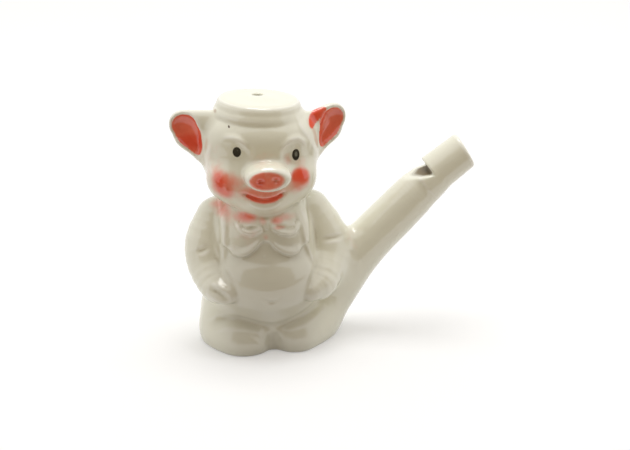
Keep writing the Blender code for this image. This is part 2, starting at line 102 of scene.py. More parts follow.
def turned_about(axis, degrees):
    """The turn about X, Y or Z by an angle, as a matrix whose columns are the turned axes."""
    c = math.cos(math.radians(degrees))
    s = math.sin(math.radians(degrees))
    turns = {
        "X": [[1, 0, 0], [0, c, -s], [0, s, c]],
        "Y": [[c, 0, s], [0, 1, 0], [-s, 0, c]],
        "Z": [[c, -s, 0], [s, c, 0], [0, 0, 1]],
    }
    return np.array(turns[axis], float)


def ball(p, centre, radii):
    """Distance to an ellipsoid. With q the point from the centre, a = |q / r| and b = |q / r / r|, it is
    a (a - 1) / b."""
    q = p - np.asarray(centre)
    r = np.asarray(radii, float)
    a = np.linalg.norm(q / r, axis=1)
    b = np.linalg.norm(q / (r * r), axis=1)
    return a * (a - 1.0) / np.maximum(b, 1e-9)


def drum(p, centre, radii, power, turn=None):
    """Distance to a drum. With e the round distance across and h the height, both over their radii, the
    drum's edge is where (e ** power + h ** power) is one, and the excess is divided by its steepness."""
    q = p - np.asarray(centre)
    if turn is not None:
        q = q @ turn
    r = np.asarray(radii, float)
    a = np.abs(q / r)
    e = np.hypot(a[:, 0], a[:, 1])
    size = np.maximum((e ** power + a[:, 2] ** power) ** (1.0 / power), 1e-9)
    level = e ** (power - 2.0)
    upright = a[:, 2] ** (power - 1.0)
    rise = np.column_stack([a[:, 0] * level / r[0], a[:, 1] * level / r[1], upright / r[2]])
    steepness = np.linalg.norm(rise, axis=1) / size ** (power - 1.0)
    return (size - 1.0) / np.maximum(steepness, 1e-6)


def rod(p, start, end, start_radius, end_radius):
    """Distance to a straight rod with round ends: from the point to the nearest place on the axis, less the
    radius there, which runs evenly from the start's to the end's."""
    a = np.asarray(start, float)
    b = np.asarray(end, float)
    along = np.clip((p - a) @ (b - a) / ((b - a) @ (b - a)), 0.0, 1.0)
    gap = np.linalg.norm(p - a - along[:, None] * (b - a), axis=1)
    return gap - (start_radius + (end_radius - start_radius) * along)


def melted(a, b, blend):
    """The union of two forms with a soft join as wide as blend: the smaller distance, less a quarter of
    blend times the square of how closely the two agree."""
    closeness = np.maximum(blend - np.abs(a - b), 0.0) / blend
    return np.minimum(a, b) - closeness * closeness * blend * 0.25


def without(a, b, blend):
    """Form a with form b taken away, and its new edge as soft as blend."""
    return -melted(-a, b, blend)


def smooth(knots, parts):
    """More knots on a smooth curve through the given ones. Between b and c, with a before and d after, it
    is half of 2 b + (c - a) t + (2 a - 5 b + 4 c - d) t t + (3 b - a - 3 c + d) t t t."""
    k = np.array(knots, float)
    k = np.vstack([2.0 * k[0] - k[1], k, 2.0 * k[-1] - k[-2]])
    a, b, c, d = k[:-3, None], k[1:-2, None], k[2:-1, None], k[3:, None]
    t = (np.arange(parts) / parts)[None, :, None]
    bow = (2 * a - 5 * b + 4 * c - d) * t ** 2 + (3 * b - a - 3 * c + d) * t ** 3
    curve = 0.5 * (2 * b + (c - a) * t + bow)
    return np.vstack([curve.reshape(-1, k.shape[1]), k[-2]])


def limb(p, knots, parts=3):
    """Distance to a chain of rods along a smooth curve through the knots (x, y, z, radius)."""
    chain = smooth(knots, parts)
    whole = np.full(len(p), FAR)
    for start, end in zip(chain[:-1], chain[1:]):
        whole = np.minimum(whole, rod(p, start[:3], end[:3], start[3], end[3]))
    return whole


def near(p, low, high, form):
    """The form's distance for the points in a box round it, and far away for the rest, which saves time."""
    chosen = np.all((p > low) & (p < high), axis=1)
    distance = np.full(len(p), FAR)
    if chosen.any():
        distance[chosen] = form(p[chosen])
    return distance


def reshaped(p, clay, low, high, change):
    """The clay's distances with a change made only to the points in a box round it."""
    chosen = np.all((p > low) & (p < high), axis=1)
    if not chosen.any():
        return clay
    shaped = clay.copy()
    shaped[chosen] = change(p[chosen], clay[chosen])
    return shaped


def around(knots, margin):
    """The box round some knots, this much larger all round."""
    points = np.array([knot[:3] for knot in knots], float)
    return points.min(axis=0) - margin, points.max(axis=0) + margin


# %% [markdown]
# ## The body
# The pig sits on broad haunches with two feet in front, and its round belly, chest and back are balls of
# clay. The sleeves hang from the shoulders and end in hands on the belly. Each of these is a few numbers.

# %% Trunk, feet and arms
# A ball is its centre, its radii and how soft its join is, and the knots of a limb are x, y, z and radius.
HAUNCHES = ((1.2, 0.3, 6.0), (18.5, 16.0, 12.0), 2.8)
TRUNK_BALLS = [
    ((0.6, -6.0, 20.5), (15.5, 15.2, 12.8), 4.5),
    ((0.8, -1.5, 31.5), (15.0, 15.0, 14.0), 3.0),
    ((1.0, 2.0, 24.0), (17.0, 13.5, 20.0), 3.0)]


def with_balls(p, clay, balls):
    """The clay with each ball melted on in turn, given by its centre, its radii and how soft its join is."""
    for centre, radii, blend in balls:
        clay = melted(clay, ball(p, centre, radii), blend)
    return clay


def trunk(p):
    """The haunches, then belly, chest and back."""
    return with_balls(p, drum(p, *HAUNCHES), TRUNK_BALLS)


FOOT_LEFT = ((-6.0, -8.2, 3.0), (9.0, 10.2, 9.0))
FOOT_RIGHT = ((8.2, -7.8, 3.0), (8.0, 10.0, 9.0))
HIP_LEFT = ((-10.8, -3.6, 4.0), (7.4, 9.0, 9.0))
HIP_RIGHT = ((12.8, -4.4, 4.0), (8.0, 9.0, 9.0))


def feet(p):
    """Two feet side by side under the belly, and the hips that carry their line round to the sides."""
    pair = melted(ball(p, *FOOT_LEFT), ball(p, *FOOT_RIGHT), 2.0)
    hips = np.minimum(ball(p, *HIP_LEFT), ball(p, *HIP_RIGHT))
    return melted(pair, hips, 3.0)


ARM_LEFT = [
    (-12.4, -0.8, 36.0, 5.6), (-14.9, -2.8, 29.5, 6.5), (-14.9, -5.4, 23.8, 6.2), (-13.4, -10.9, 19.6, 5.0),
    (-12.2, -13.0, 19.0, 4.2)]
ARM_RIGHT = [
    (14.2, -0.8, 36.6, 5.8), (17.6, -2.6, 30.2, 6.6), (17.8, -5.4, 24.4, 6.2), (15.4, -11.0, 19.2, 5.2),
    (13.6, -13.3, 18.4, 4.0)]
HAND_LEFT = [(-13.2, -12.6, 19.2, 4.0), (-11.6, -14.9, 18.8, 3.3), (-10.2, -16.3, 18.4, 2.3)]
HAND_RIGHT = [(14.6, -12.0, 18.8, 4.2), (13.0, -14.8, 18.0, 3.2), (12.2, -15.8, 17.5, 2.5)]
ARM_ROOM = 12.5
WRIST_JOIN = 0.5


def arms(p):
    """Sleeves and hands, each worked out only on its own side."""
    pair = []
    for sleeve, hand in ((ARM_LEFT, HAND_LEFT), (ARM_RIGHT, HAND_RIGHT)):
        low, high = around(sleeve + hand, ARM_ROOM)
        pair.append(near(p, low, high, lambda q: melted(limb(q, sleeve), limb(q, hand), WRIST_JOIN)))
    return np.minimum(*pair)


print("The haunches are", 2.0 * HAUNCHES[1][0], "mm wide and carry", len(TRUNK_BALLS), "balls of clay")


# %% [markdown]
# ## The head
# A round skull, jowls, chin and cheeks carry a short muzzle with an oval snout. The ears are flattened
# leaves with a cup pressed into the front of each. The cap is a turned profile, set a little askew.

# %% Head, muzzle and snout
SKULL = ((0.4, 0.2, 55.0), (16.4, 14.6, 13.6))
HEAD_BALLS = [
    ((0.0, -0.2, 60.0), (15.0, 13.9, 9.6), 2.5),
    ((0.1, -2.4, 49.1), (14.5, 13.2, 8.2), 3.0),
    ((0.3, -8.0, 44.8), (10.0, 7.4, 5.2), 4.0),
    ((-0.2, -9.2, 43.3), (6.2, 6.0, 4.9), 3.0),
    ((-8.6, -8.4, 49.0), (6.6, 5.8, 5.6), 3.0),
    ((8.5, -8.0, 48.8), (6.1, 5.8, 5.5), 3.0),
    ((0.5, -11.5, 52.0), (7.0, 5.2, 4.8), 1.5)]
SNOUT = ((0.35, -15.0, 52.1), (6.4, 3.75, 5.7), 4.0)
SNOUT_DISH = ((0.35, -21.6, 52.1), (5.9, 1.3, 3.1))


def head(p):
    """The skull, then forehead, jowls, jaw, chin, both cheeks and the muzzle."""
    return with_balls(p, ball(p, *SKULL), HEAD_BALLS)


def snout(p):
    """An oval drum lying along Y with a flat, slightly dished end."""
    return without(drum(p, *SNOUT, turned_about("X", 90.0)), ball(p, *SNOUT_DISH), 0.5)


print("The skull carries", len(HEAD_BALLS), "balls of clay")


# %% Ears
EAR_AT = {-1: (-19.65, 1.0, 60.55), 1: (20.05, 1.0, 60.9)}
EAR_TURN = 22.0
EAR_FLATNESS = 0.55
EAR_ROOT = {-1: [(-1.6, 2.5, 3.8), (-7.4, 2.4, 4.2)], 1: [(-1.6, 2.3, 3.3), (-7.4, 1.2, 3.0)]}
EAR_LEAF = ((0.95, 0.0, 1.9), (-1.0, 0.0, -0.5), 4.2, 4.7)
EAR_STEM = ((-1.0, 0.0, -0.5), (-4.5, 0.0, -5.0), 4.7, 3.4)


def ear_space(p, side):
    """The points in an ear's own space: x away from the head, y through the ear and z up. It is turned to
    the side and stretched in thickness, so that the leaf is round there."""
    turn = turned_about("Z", EAR_TURN * side)
    return (p - np.asarray(EAR_AT[side])) @ turn / rows(side, EAR_FLATNESS, 1.0)


def ear_leaf(p, side):
    """The ear without its hollows: a leaf that narrows downwards, and a thick root to the head."""
    q = ear_space(p, side)
    leaf = rod(q, *EAR_LEAF)
    stem = rod(q, *EAR_STEM)
    (x0, z0, radius0), (x1, z1, radius1) = EAR_ROOT[side]
    root = rod(q, (x0, 0.0, z0), (x1, 0.0, z1), radius0, radius1)
    return melted(melted(leaf, stem, 1.0), root, 1.0) * EAR_FLATNESS


EAR_CUP = {-1: [(0.35, 1.3, 4.1), (-3.3, -3.4, 2.9)], 1: [(0.75, 1.5, 3.7), (-3.4, -3.7, 2.3)]}
EAR_VALLEY = ((0.8, -0.5, 0.1), (-3.4, -1.2, -4.1), 1.2, 1.1)
EAR_FOLD = ((-2.6, -3.9, 3.8), (-6.2, -3.9, 2.2), 1.6, 1.8)
FOLD_PAINT = [(14.5, 62.2, 0.6), (14.7, 63.4, 1.6), (16.2, 64.6, 1.6), (18.4, 65.8, 0.7)]


def ear_cup(p, side):
    """The main hollow of an ear, with a deeper valley along its lower side."""
    q = ear_space(p, side)
    (x0, z0, radius0), (x1, z1, radius1) = EAR_CUP[side]
    main = rod(q, (x0, -2.9, z0), (x1, -3.0, z1), radius0, radius1)
    return melted(main, rod(q, *EAR_VALLEY), 0.6) * EAR_FLATNESS


def ear_fold(p):
    """The shallow hollow between the right ear's cup and the head."""
    return rod(ear_space(p, 1), *EAR_FOLD) * EAR_FLATNESS


def ear(p, side):
    """The leaf with its cup taken out, and on the right the fold too."""
    leaf = without(ear_leaf(p, side), ear_cup(p, side), 0.5)
    if side > 0:
        leaf = without(leaf, ear_fold(p), 1.0)
    return leaf


def ears(p):
    """Both ears, each worked out only near it."""
    pair = []
    for side in (-1, 1):
        middle = rows(*EAR_AT[side]) - rows(0.0, 0.0, 3.0)
        pair.append(near(p, middle - 15.0, middle + 15.0, lambda q: ear(q, side)))
    return np.minimum(*pair)


# %% Cap
# Each pair is a radius and a height. The profile starts past the axis, so that it has no edge in the middle.
CAP_PROFILE = [
    (-9.0, 69.4), (9.0, 69.3), (10.7, 69.0), (11.1, 68.4), (11.35, 67.7), (11.5, 67.2), (11.8, 66.7),
    (12.1, 66.0), (12.15, 65.5), (11.6, 64.6), (11.4, 58.0), (-9.0, 58.0)]
CAP_SOFTNESS = 0.4
CAP_TILT = turned_about("Y", 3.0)
CAP_PIVOT = rows(0.0, 0.2, 65.0)


def outline_distance(x, z, points):
    """Distance to a closed outline in a plane: to the nearest of its edges, and less than zero inside,
    where a line to one side crosses the outline an odd number of times."""
    distance = np.full(x.shape, FAR)
    inside = np.zeros(x.shape, bool)
    for (x0, z0), (x1, z1) in zip(points, points[1:] + points[:1]):
        dx, dz = x1 - x0, z1 - z0
        share = np.clip(((x - x0) * dx + (z - z0) * dz) / (dx * dx + dz * dz), 0.0, 1.0)
        distance = np.minimum(distance, np.hypot(x - x0 - share * dx, z - z0 - share * dz))
        if z0 != z1:
            inside ^= ((z0 <= z) != (z1 <= z)) & (x < x0 + (z - z0) * dx / dz)
    return np.where(inside, -distance, distance)


def cap(p):
    """The cap's profile turned about its own tilted axis. It stands out by the softness, which rounds its
    corners."""
    q = (p - CAP_PIVOT) @ CAP_TILT + rows(0.0, 0.0, CAP_PIVOT[2])
    radius = np.hypot(q[:, 0], q[:, 1])
    return outline_distance(radius, q[:, 2], CAP_PROFILE) - CAP_SOFTNESS


print("The cap is", 2.0 * (max(x for x, z in CAP_PROFILE) + CAP_SOFTNESS), "mm across at its rim")


# %% [markdown]
# ## The tail
# The tail is the tube that the whistle is blown through. It leaves the haunches steeply, bends to a slope
# of about forty degrees, and ends in a slightly tapered mouthpiece. Behind the mouthpiece a ramp is sliced
# into its top: the breath crosses the hole there and sounds the note.

# %% Tail tube and mouthpiece
TAIL = [(17.0, 0, 6.4, 7.6), (21.8, 0, 13.3, 7.2), (26.6, 0, 20.2, 6.8), (32.1, 0, 26.8, 6.55),
        (38.6, 0, 33.3, 6.4), (44.0, 0, 38.8, 6.15), (48.4, 0, 43.2, 5.6)]
MOUTH_START = rows(46.8, 0.0, 42.66)
MOUTH_END = rows(59.1, 0.0, 52.1)
MOUTH_RADII = (5.8, 5.3)
MOUTH_ROUNDING = 0.8
WINDOW_RAMP_AT = rows(40.4, 0.0, 44.25)
WINDOW_FACE_AT = rows(46.5, 0.0, 49.8)
WINDOW_BACK = 38.0
RAMP_ANGLE = math.radians(15.0)
TIP_ANGLE = math.radians(31.0)
ramp_up = rows(-math.sin(RAMP_ANGLE), 0.0, math.cos(RAMP_ANGLE))
mouth_along = (MOUTH_END - MOUTH_START) / np.linalg.norm(MOUTH_END - MOUTH_START)
mouth_up = rows(-mouth_along[2], 0.0, mouth_along[0])
tip_along = rows(math.cos(TIP_ANGLE), 0.0, math.sin(TIP_ANGLE))
print("The mouthpiece rises at", round(math.degrees(math.asin(mouth_along[2])), 1), "degrees")


def tube(p):
    """The tail's tube along its smooth curve."""
    return limb(p, TAIL, 6)


def mouthpiece(p):
    """A tapered rod with flat ends, of which the tip's has its own slope: the greater of the distance to its
    side and to its ends, both drawn in by the rounding, which is then given back."""
    length = np.linalg.norm(MOUTH_END - MOUTH_START)
    along = (p - MOUTH_START) @ mouth_along
    gap = np.linalg.norm(p - MOUTH_START - along[:, None] * mouth_along, axis=1)
    side = gap - (MOUTH_RADII[0] + (MOUTH_RADII[1] - MOUTH_RADII[0]) * along / length) + MOUTH_ROUNDING
    ends = np.maximum(-along, (p - MOUTH_END) @ tip_along) + MOUTH_ROUNDING
    corner = np.hypot(np.maximum(side, 0.0), np.maximum(ends, 0.0))
    return np.minimum(np.maximum(side, ends), 0.0) + corner - MOUTH_ROUNDING


def window(p):
    """The slice above the ramp and behind the mouthpiece's face."""
    ramp = (p - WINDOW_RAMP_AT) @ ramp_up
    face = (p - WINDOW_FACE_AT) @ mouth_along
    return np.maximum(np.maximum(-ramp, face), WINDOW_BACK - p[:, 0])


# %% [markdown]
# ## Relief
# The dress and the face are drawn in low relief, as a modeller draws them in the mould. A line is drawn on
# the front view, through knots of x, z and a half width, and the skin under it is raised or pressed in. The
# height is full in the middle of the line, fades to nothing at its edges and dies out at both ends, so a
# line follows the clay wherever it leads.

# %% Drawing lines on the front
FRONT = -1.0


def soft_step(value, start, end):
    """Nothing up to start and one from end. With t the share of the way between, it is t t (3 - 2 t)."""
    t = np.clip((value - start) / (end - start), 0.0, 1.0)
    return t * t * (3.0 - 2.0 * t)


def across(p, path):
    """For each point, seen from the front: its distance to the line over the line's half width there, and
    how far along the line that nearest place is, from nothing to one."""
    line = smooth(path, 5)
    nearest = np.full(len(p), FAR)
    along = np.zeros(len(p))
    for index, ((x0, z0, w0), (x1, z1, w1)) in enumerate(zip(line[:-1], line[1:])):
        dx, dz = x1 - x0, z1 - z0
        share = np.clip(((p[:, 0] - x0) * dx + (p[:, 2] - z0) * dz) / (dx * dx + dz * dz), 0.0, 1.0)
        gap = np.hypot(p[:, 0] - x0 - share * dx, p[:, 2] - z0 - share * dz) / (w0 + (w1 - w0) * share)
        along = np.where(gap < nearest, (index + share) / (len(line) - 1), along)
        nearest = np.minimum(nearest, gap)
    return nearest, along


def drawn(p, clay, path, height, softness=1.0, ends=0.15):
    """The clay with a line raised by height, or pressed in where height is less than nothing. Softness is
    the share of the half width over which the height fades."""
    points = np.array(path)
    reach = points[:, 2].max()
    low = rows(points[:, 0].min() - reach, -40.0, points[:, 1].min() - reach)
    high = rows(points[:, 0].max() + reach, FRONT, points[:, 1].max() + reach)

    def change(q, distance):
        nearest, along = across(q, path)
        fade = soft_step(along, 0.0, ends) * soft_step(1.0 - along, 0.0, ends)
        return distance - height * fade * (1.0 - soft_step(nearest, 1.0 - softness, 1.0))

    return reshaped(p, clay, low, high, change)


# %% Dress
VEST_PROUD = 0.55
VEST_HEM = [
    (-15.0, 31.6), (-12.0, 31.4), (-10.3, 30.6), (-9.1, 29.4), (-7.2, 29.2), (-4.9, 30.2), (-3.0, 31.9),
    (-1.6, 33.3), (-0.3, 33.7), (1.1, 33.0), (2.8, 30.9), (5.8, 29.5), (8.4, 29.2), (9.8, 30.4), (12.0, 31.4),
    (16.0, 31.8)]
HEM_LEFT = [
    (-10.1, 31.9, 0.8), (-9.1, 30.6, 1.3), (-7.2, 30.2, 1.6), (-4.9, 31.2, 1.5), (-3.0, 32.9, 1.2),
    (-1.6, 34.3, 0.7)]
HEM_RIGHT = [(0.9, 34.1, 0.7), (2.8, 32.0, 1.2), (5.8, 30.5, 1.6), (8.3, 30.2, 1.5), (9.7, 31.5, 0.8)]
LAPEL_LEFT = [
    (-10.6, 43.0, 1.4), (-11.6, 38.2, 2.1), (-12.0, 34.6, 2.4), (-12.2, 31.3, 2.4), (-12.3, 28.2, 1.9),
    (-11.9, 25.4, 0.8)]
LAPEL_RIGHT = [
    (8.6, 42.6, 1.4), (10.1, 39.0, 2.0), (11.4, 35.4, 2.3), (12.3, 32.1, 2.5), (13.2, 28.6, 2.4),
    (13.8, 26.0, 1.6), (14.0, 23.8, 0.7)]
LAPEL_ROLL_LEFT = [(-13.4, 31.5, 0.7), (-13.2, 28.8, 0.9), (-12.2, 26.4, 0.7)]
LAPEL_ROLL_RIGHT = [(10.2, 35.5, 0.7), (11.4, 31.0, 0.9), (13.0, 26.6, 0.7)]
BOW_LEFT = [(-7.2, 38.2, 1.2), (-6.0, 37.2, 1.9), (-3.8, 37.3, 1.7), (-1.2, 37.7, 0.9)]
BOW_RIGHT = [(1.0, 37.6, 0.9), (3.8, 36.9, 1.7), (6.6, 36.4, 1.9), (8.4, 37.2, 1.2)]
BOW_RIM_LEFT = [
    (-7.8, 38.8, 0.9), (-7.1, 36.7, 1.2), (-4.6, 35.9, 1.3), (-2.3, 36.5, 1.2), (-1.1, 37.6, 0.9)]
BOW_RIM_RIGHT = [
    (1.2, 37.3, 0.9), (4.2, 35.9, 1.2), (7.0, 35.3, 1.3), (8.6, 36.2, 1.2), (8.9, 38.2, 0.9)]
BOW_FOLDS = [([(-6.2, 37.0, 0.6), (-4.2, 37.8, 0.7), (-2.2, 38.2, 0.6)], 0.22),
             ([(-6.0, 36.8, 0.6), (-4.2, 37.2, 0.8), (-2.6, 37.7, 0.6)], -0.28),
             ([(1.6, 38.0, 0.6), (3.4, 37.3, 0.8), (5.4, 36.9, 0.6)], -0.32),
             ([(2.0, 38.6, 0.6), (5.1, 38.2, 0.75), (8.0, 37.6, 0.6)], 0.22)]
KNOT = [(-0.1, 39.4, 1.5), (-0.1, 36.6, 1.4)]
BUTTON = [(-1.2, 29.6, 0.6), (-0.5, 29.6, 0.6)]

# Each row is a line, its height, its softness and the share of its length over which each end dies out.
DRESS_LINES = [
    (HEM_LEFT, 0.6, 1.0, 0.15),
    (HEM_RIGHT, 0.6, 1.0, 0.15),
    (LAPEL_LEFT, 0.6, 0.8, 0.25),
    (LAPEL_RIGHT, 0.6, 0.8, 0.25),
    (LAPEL_ROLL_LEFT, 0.18, 1.0, 0.4),
    (LAPEL_ROLL_RIGHT, 0.18, 1.0, 0.4),
    (BOW_LEFT, 0.35, 0.7, 0.05),
    (BOW_RIGHT, 0.35, 0.7, 0.05),
    (BOW_RIM_LEFT, 0.8, 1.0, 0.15),
    (BOW_RIM_RIGHT, 0.8, 1.0, 0.15),
    *[(path, height, 1.0, 0.5) for path, height in BOW_FOLDS],
    (KNOT, 0.5, 1.0, 0.2),
    (BUTTON, 0.22, 1.0, 0.15),
]
print(len(DRESS_LINES), "lines are drawn on the dress")


def chest_relief(p, clay):
    """The reliefs one after the other: the waistcoat above its hem, then every line of the dress."""
    hem = smooth(VEST_HEM, 4)
    above_hem = p[:, 2] - np.interp(p[:, 0], hem[:, 0], hem[:, 1])
    between = soft_step(p[:, 0], -12.3, -11.5) * soft_step(-p[:, 0], -12.7, -11.9)
    clay = clay - VEST_PROUD * soft_step(above_hem, -0.4, 0.4) * between
    for path, height, softness, ends in DRESS_LINES:
        clay = drawn(p, clay, path, height, softness, ends)
    return clay


def dress(p, clay):
    """Jacket fronts, waistcoat, bow and button on the chest, which is a box of its own."""
    return reshaped(p, clay, rows(-18.0, -24.0, 18.0), rows(20.0, FRONT, 46.0), chest_relief)


# %% Face lines
BROWS = [
    [(-11.8, 60.6, 0.9), (-9.8, 61.9, 1.2), (-7.6, 61.9, 1.4), (-6.0, 60.8, 1.4), (-4.6, 59.0, 1.3),
     (-3.2, 56.4, 1.0)],
    [(3.8, 57.2, 1.0), (4.9, 59.4, 1.2), (7.0, 60.9, 1.4), (9.5, 61.0, 1.3), (11.6, 59.2, 1.1),
     (12.5, 57.1, 0.9)]]
SIDE_RIDGES = [
    [(8.8, 68.4, 0.9), (10.4, 64.1, 1.2), (12.5, 60.4, 1.4), (14.3, 57.0, 1.4), (15.2, 53.5, 1.0)],
    [(-13.4, 60.4, 0.9), (-14.4, 57.0, 1.2), (-14.2, 53.0, 1.2), (-12.8, 49.4, 0.9)]]
SOCKETS = [((-7.4, -14.4, 58.2), (3.4, 1.8, 2.8)), ((8.2, -14.1, 56.8), (3.2, 1.8, 2.7))]
MOUTH = [
    (-6.9, 47.6, 0.5), (-5.0, 46.5, 0.75), (-2.8, 45.6, 0.95), (-0.4, 45.2, 1.0), (2.1, 45.5, 0.95),
    (4.2, 46.4, 0.75), (5.9, 47.6, 0.5)]
LOWER_LIP = [(-5.2, 45.0, 0.9), (-2.8, 43.6, 1.3), (-0.3, 43.1, 1.4), (2.2, 43.5, 1.3), (4.4, 44.8, 0.9)]
NOSTRILS = [((-2.0, -20.6, 51.8), (1.0, 0.9, 0.75)), ((2.1, -20.6, 52.0), (1.0, 0.9, 0.75))]
DIMPLE = [(-11.0, 50.4, 0.5), (-10.7, 48.6, 0.6), (-10.0, 47.0, 0.5)]
FACE_LINES = [
    *[(path, 0.38, 1.0, 0.35) for path in BROWS],
    *[(path, 0.22, 1.0, 0.3) for path in SIDE_RIDGES],
    (LOWER_LIP, 0.3, 1.0, 0.15),
    (MOUTH, -0.9, 1.0, 0.2),
]
print(len(FACE_LINES), "lines are drawn on the face")


def face_relief(p, clay):
    """The eye sockets, then the lines of the face, the nostrils and the dimple."""
    for centre, radii in SOCKETS:
        clay = without(clay, ball(p, centre, radii), 1.5)
    for path, height, softness, ends in FACE_LINES:
        clay = drawn(p, clay, path, height, softness, ends)
    for centre, radii in NOSTRILS:
        clay = without(clay, ball(p, centre, radii), 0.6)
    return drawn(p, clay, DIMPLE, 0.25, 1.0, 0.3)


def face(p, clay):
    """The relief on the front of the head, which is a box of its own."""
    return reshaped(p, clay, rows(-18.0, -24.0, 40.0), rows(18.0, 0.0, 72.0), face_relief)


# %% Body lines
CREASES = [
    ([(-19.2, 28.6, 0.9), (-17.0, 29.3, 1.2), (-14.8, 30.6, 1.0)], -0.5),
    ([(15.4, 30.2, 0.8), (19.1, 30.7, 1.1), (24.0, 30.3, 0.9)], -0.42),
    ([(-16.4, 20.6, 1.0), (-13.3, 19.3, 1.5), (-10.2, 17.7, 1.2)], -0.9),
    ([(-16.6, 22.1, 0.9), (-12.8, 21.1, 1.1), (-9.2, 19.2, 1.0)], 0.35),
    ([(-17.6, 19.2, 0.8), (-14.6, 17.3, 1.1), (-12.0, 16.7, 1.1), (-8.6, 17.8, 0.9)], 0.45),
    ([(-11.6, 26.2, 0.7), (-10.3, 23.4, 1.1), (-8.3, 20.6, 0.9)], -0.4),
    ([(13.4, 24.4, 0.7), (11.8, 21.6, 1.1), (10.8, 18.8, 0.9)], -0.35),
    ([(-3.0, 19.5, 0.7), (-0.9, 17.7, 0.9), (0.6, 17.2, 0.95), (2.0, 17.6, 0.9), (3.8, 19.2, 0.7)], -0.45),
    ([(-11.0, 3.8, 1.0), (-6.5, 5.6, 1.4), (-3.4, 4.6, 1.2), (-0.6, 1.6, 1.0)], -0.24),
]
BELLY_FOLD = [
    (-16.4, 6.0, 1.4), (-12.0, 8.8, 1.9), (-7.4, 9.6, 2.1), (-2.4, 8.5, 2.1), (1.4, 7.9, 2.1),
    (5.6, 8.3, 2.2), (11.4, 9.9, 2.5), (15.6, 11.4, 2.4), (19.0, 12.2, 1.4)]
NOTCH = [(1.5, 8.0, 1.8), (1.5, 5.4, 2.4), (1.6, 2.4, 3.0), (1.7, -4.0, 3.2)]


def body_lines(p, clay):
    """Elbow creases, hands, arm edges, navel and toes, then the belly's fold and the notch below it."""
    for path, height in CREASES:
        clay = drawn(p, clay, path, height, 1.0, 0.45)
    clay = drawn(p, clay, BELLY_FOLD, -0.8)
    return drawn(p, clay, NOTCH, -0.95, 1.0, 0.45)


# %% [markdown]
# ## The inside
# Slip fills a plaster mould, a wall of clay sets on the plaster, and the rest is poured out. So the inside
# follows the outside one wall smaller. The tail's bore opens into it, and so does the filling hole in the
# cap. The breath comes in by a narrow slot through the mouthpiece.

# %% The hollow
WALL = 2.6
FLOOR = 3.0
BORE = 4.3
HOLE_RADIUS = 1.55
HOLE_BACK = 2.8
BORE_PATH = [(1.2, 0, 11.6, BORE), (21.8, 0, 13.3, BORE), (26.6, 0, 20.2, BORE), (32.1, 0, 26.8, BORE),
             (38.6, 0, 33.3, 4.0), (44.4, 0, 38.8, 3.1), (47.6, 0, 42.0, 2.85)]
THROAT = ((0.8, -1.5, 32.0), (0.4, -1.0, 52.0), 7.0, 7.0)
WINDWAY_DROP = 3.0
WINDWAY_LIFT = 1.2
WINDWAY_HALF_WIDTH = 2.4
WINDWAY_HALF_HEIGHT = 0.65
print("The wall is", WALL, "mm thick, and the bore", 2.0 * BORE, "mm wide")


def filling_hole(p):
    """A round hole along the cap's tilted axis, down into the head."""
    q = (p - CAP_PIVOT) @ CAP_TILT
    return np.maximum(np.hypot(q[:, 0], q[:, 1] - HOLE_BACK) - HOLE_RADIUS, -4.0 - q[:, 2])


def windway(p):
    """A flat slot from the tip of the mouthpiece to the window's edge, and 1 mm past it."""
    corner = WINDOW_FACE_AT - mouth_up * WINDWAY_DROP
    tip = MOUTH_END + mouth_up * WINDWAY_LIFT
    along = (tip - corner) / np.linalg.norm(tip - corner)
    slot_up = rows(-along[2], 0.0, along[0])
    q = p - corner
    slot = np.maximum(np.abs(q[:, 1]) - WINDWAY_HALF_WIDTH, np.abs(q @ slot_up) - WINDWAY_HALF_HEIGHT)
    return np.maximum(slot, -1.0 - q @ along)


def hollow(p):
    """Water chamber with the throat between body and head, then the bore and the filling hole."""
    skull_at, skull_radii = SKULL
    chamber = melted(trunk(p) + WALL, ball(p, skull_at, rows(*skull_radii) - WALL), 2.0)
    chamber = melted(chamber, rod(p, *THROAT), 3.0)
    chamber = without(chamber, p[:, 2] - FLOOR, 1.0)
    chamber = melted(chamber, limb(p, BORE_PATH, 2), 0.8)
    return melted(chamber, filling_hole(p), 0.4)


# %% The whole casting
JOIN = {"feet": 1.2, "snout": 0.9, "ears": 1.6, "cap": 0.8, "head": 0.8, "tail": 5.5, "mouthpiece": 1.5}
SNOUT_BOX = (rows(-12.0, -28.0, 42.0), rows(12.0, -5.0, 62.0))
CAP_BOX = (rows(-20.0, -20.0, 54.0), rows(20.0, 20.0, 80.0))
TUBE_BOX = (rows(5.0, -16.0, -9.0), rows(99.0, 16.0, 60.0))
MOUTHPIECE_BOX = (rows(38.0, -14.0, 34.0), rows(99.0, 14.0, 70.0))


def clay_skin(p):
    """The outside of the pig, before any hole. The join of the arms is tight in front and wider behind."""
    clay = melted(trunk(p), feet(p), JOIN["feet"])
    arm_join = 0.9 + 2.6 * soft_step(p[:, 1], -9.0, -2.0)
    clay = dress(p, melted(clay, arms(p), arm_join))
    clay = body_lines(p, clay)
    top = melted(head(p), near(p, *SNOUT_BOX, snout), JOIN["snout"])
    top = melted(top, ears(p), JOIN["ears"])
    top = melted(top, near(p, *CAP_BOX, cap), JOIN["cap"])
    clay = melted(clay, face(p, top), JOIN["head"])
    clay = melted(clay, near(p, *TUBE_BOX, tube), JOIN["tail"])
    return melted(clay, near(p, *MOUTHPIECE_BOX, mouthpiece), JOIN["mouthpiece"])


def casting(p):
    """The outside, less the window, the ground, the hollow and the windway."""
    clay = without(clay_skin(p), window(p), 0.4)
    clay = without(clay, p[:, 2], 0.8)
    clay = without(clay, hollow(p), 0.4)
    return without(clay, windway(p), 0.2)


# %% [markdown]
# ## From distances to a mesh
# The distances are read on a lattice. Most of the lattice is far from the skin, so blocks of it are tested
# first, and only those near the skin are read in full. Every small cell that the skin passes through gets
# one point, at the mean of the places where the skin crosses the cell's edges, and every crossed edge joins
# the four cells round it with a face. At last the points slide along the field's slope onto the skin.

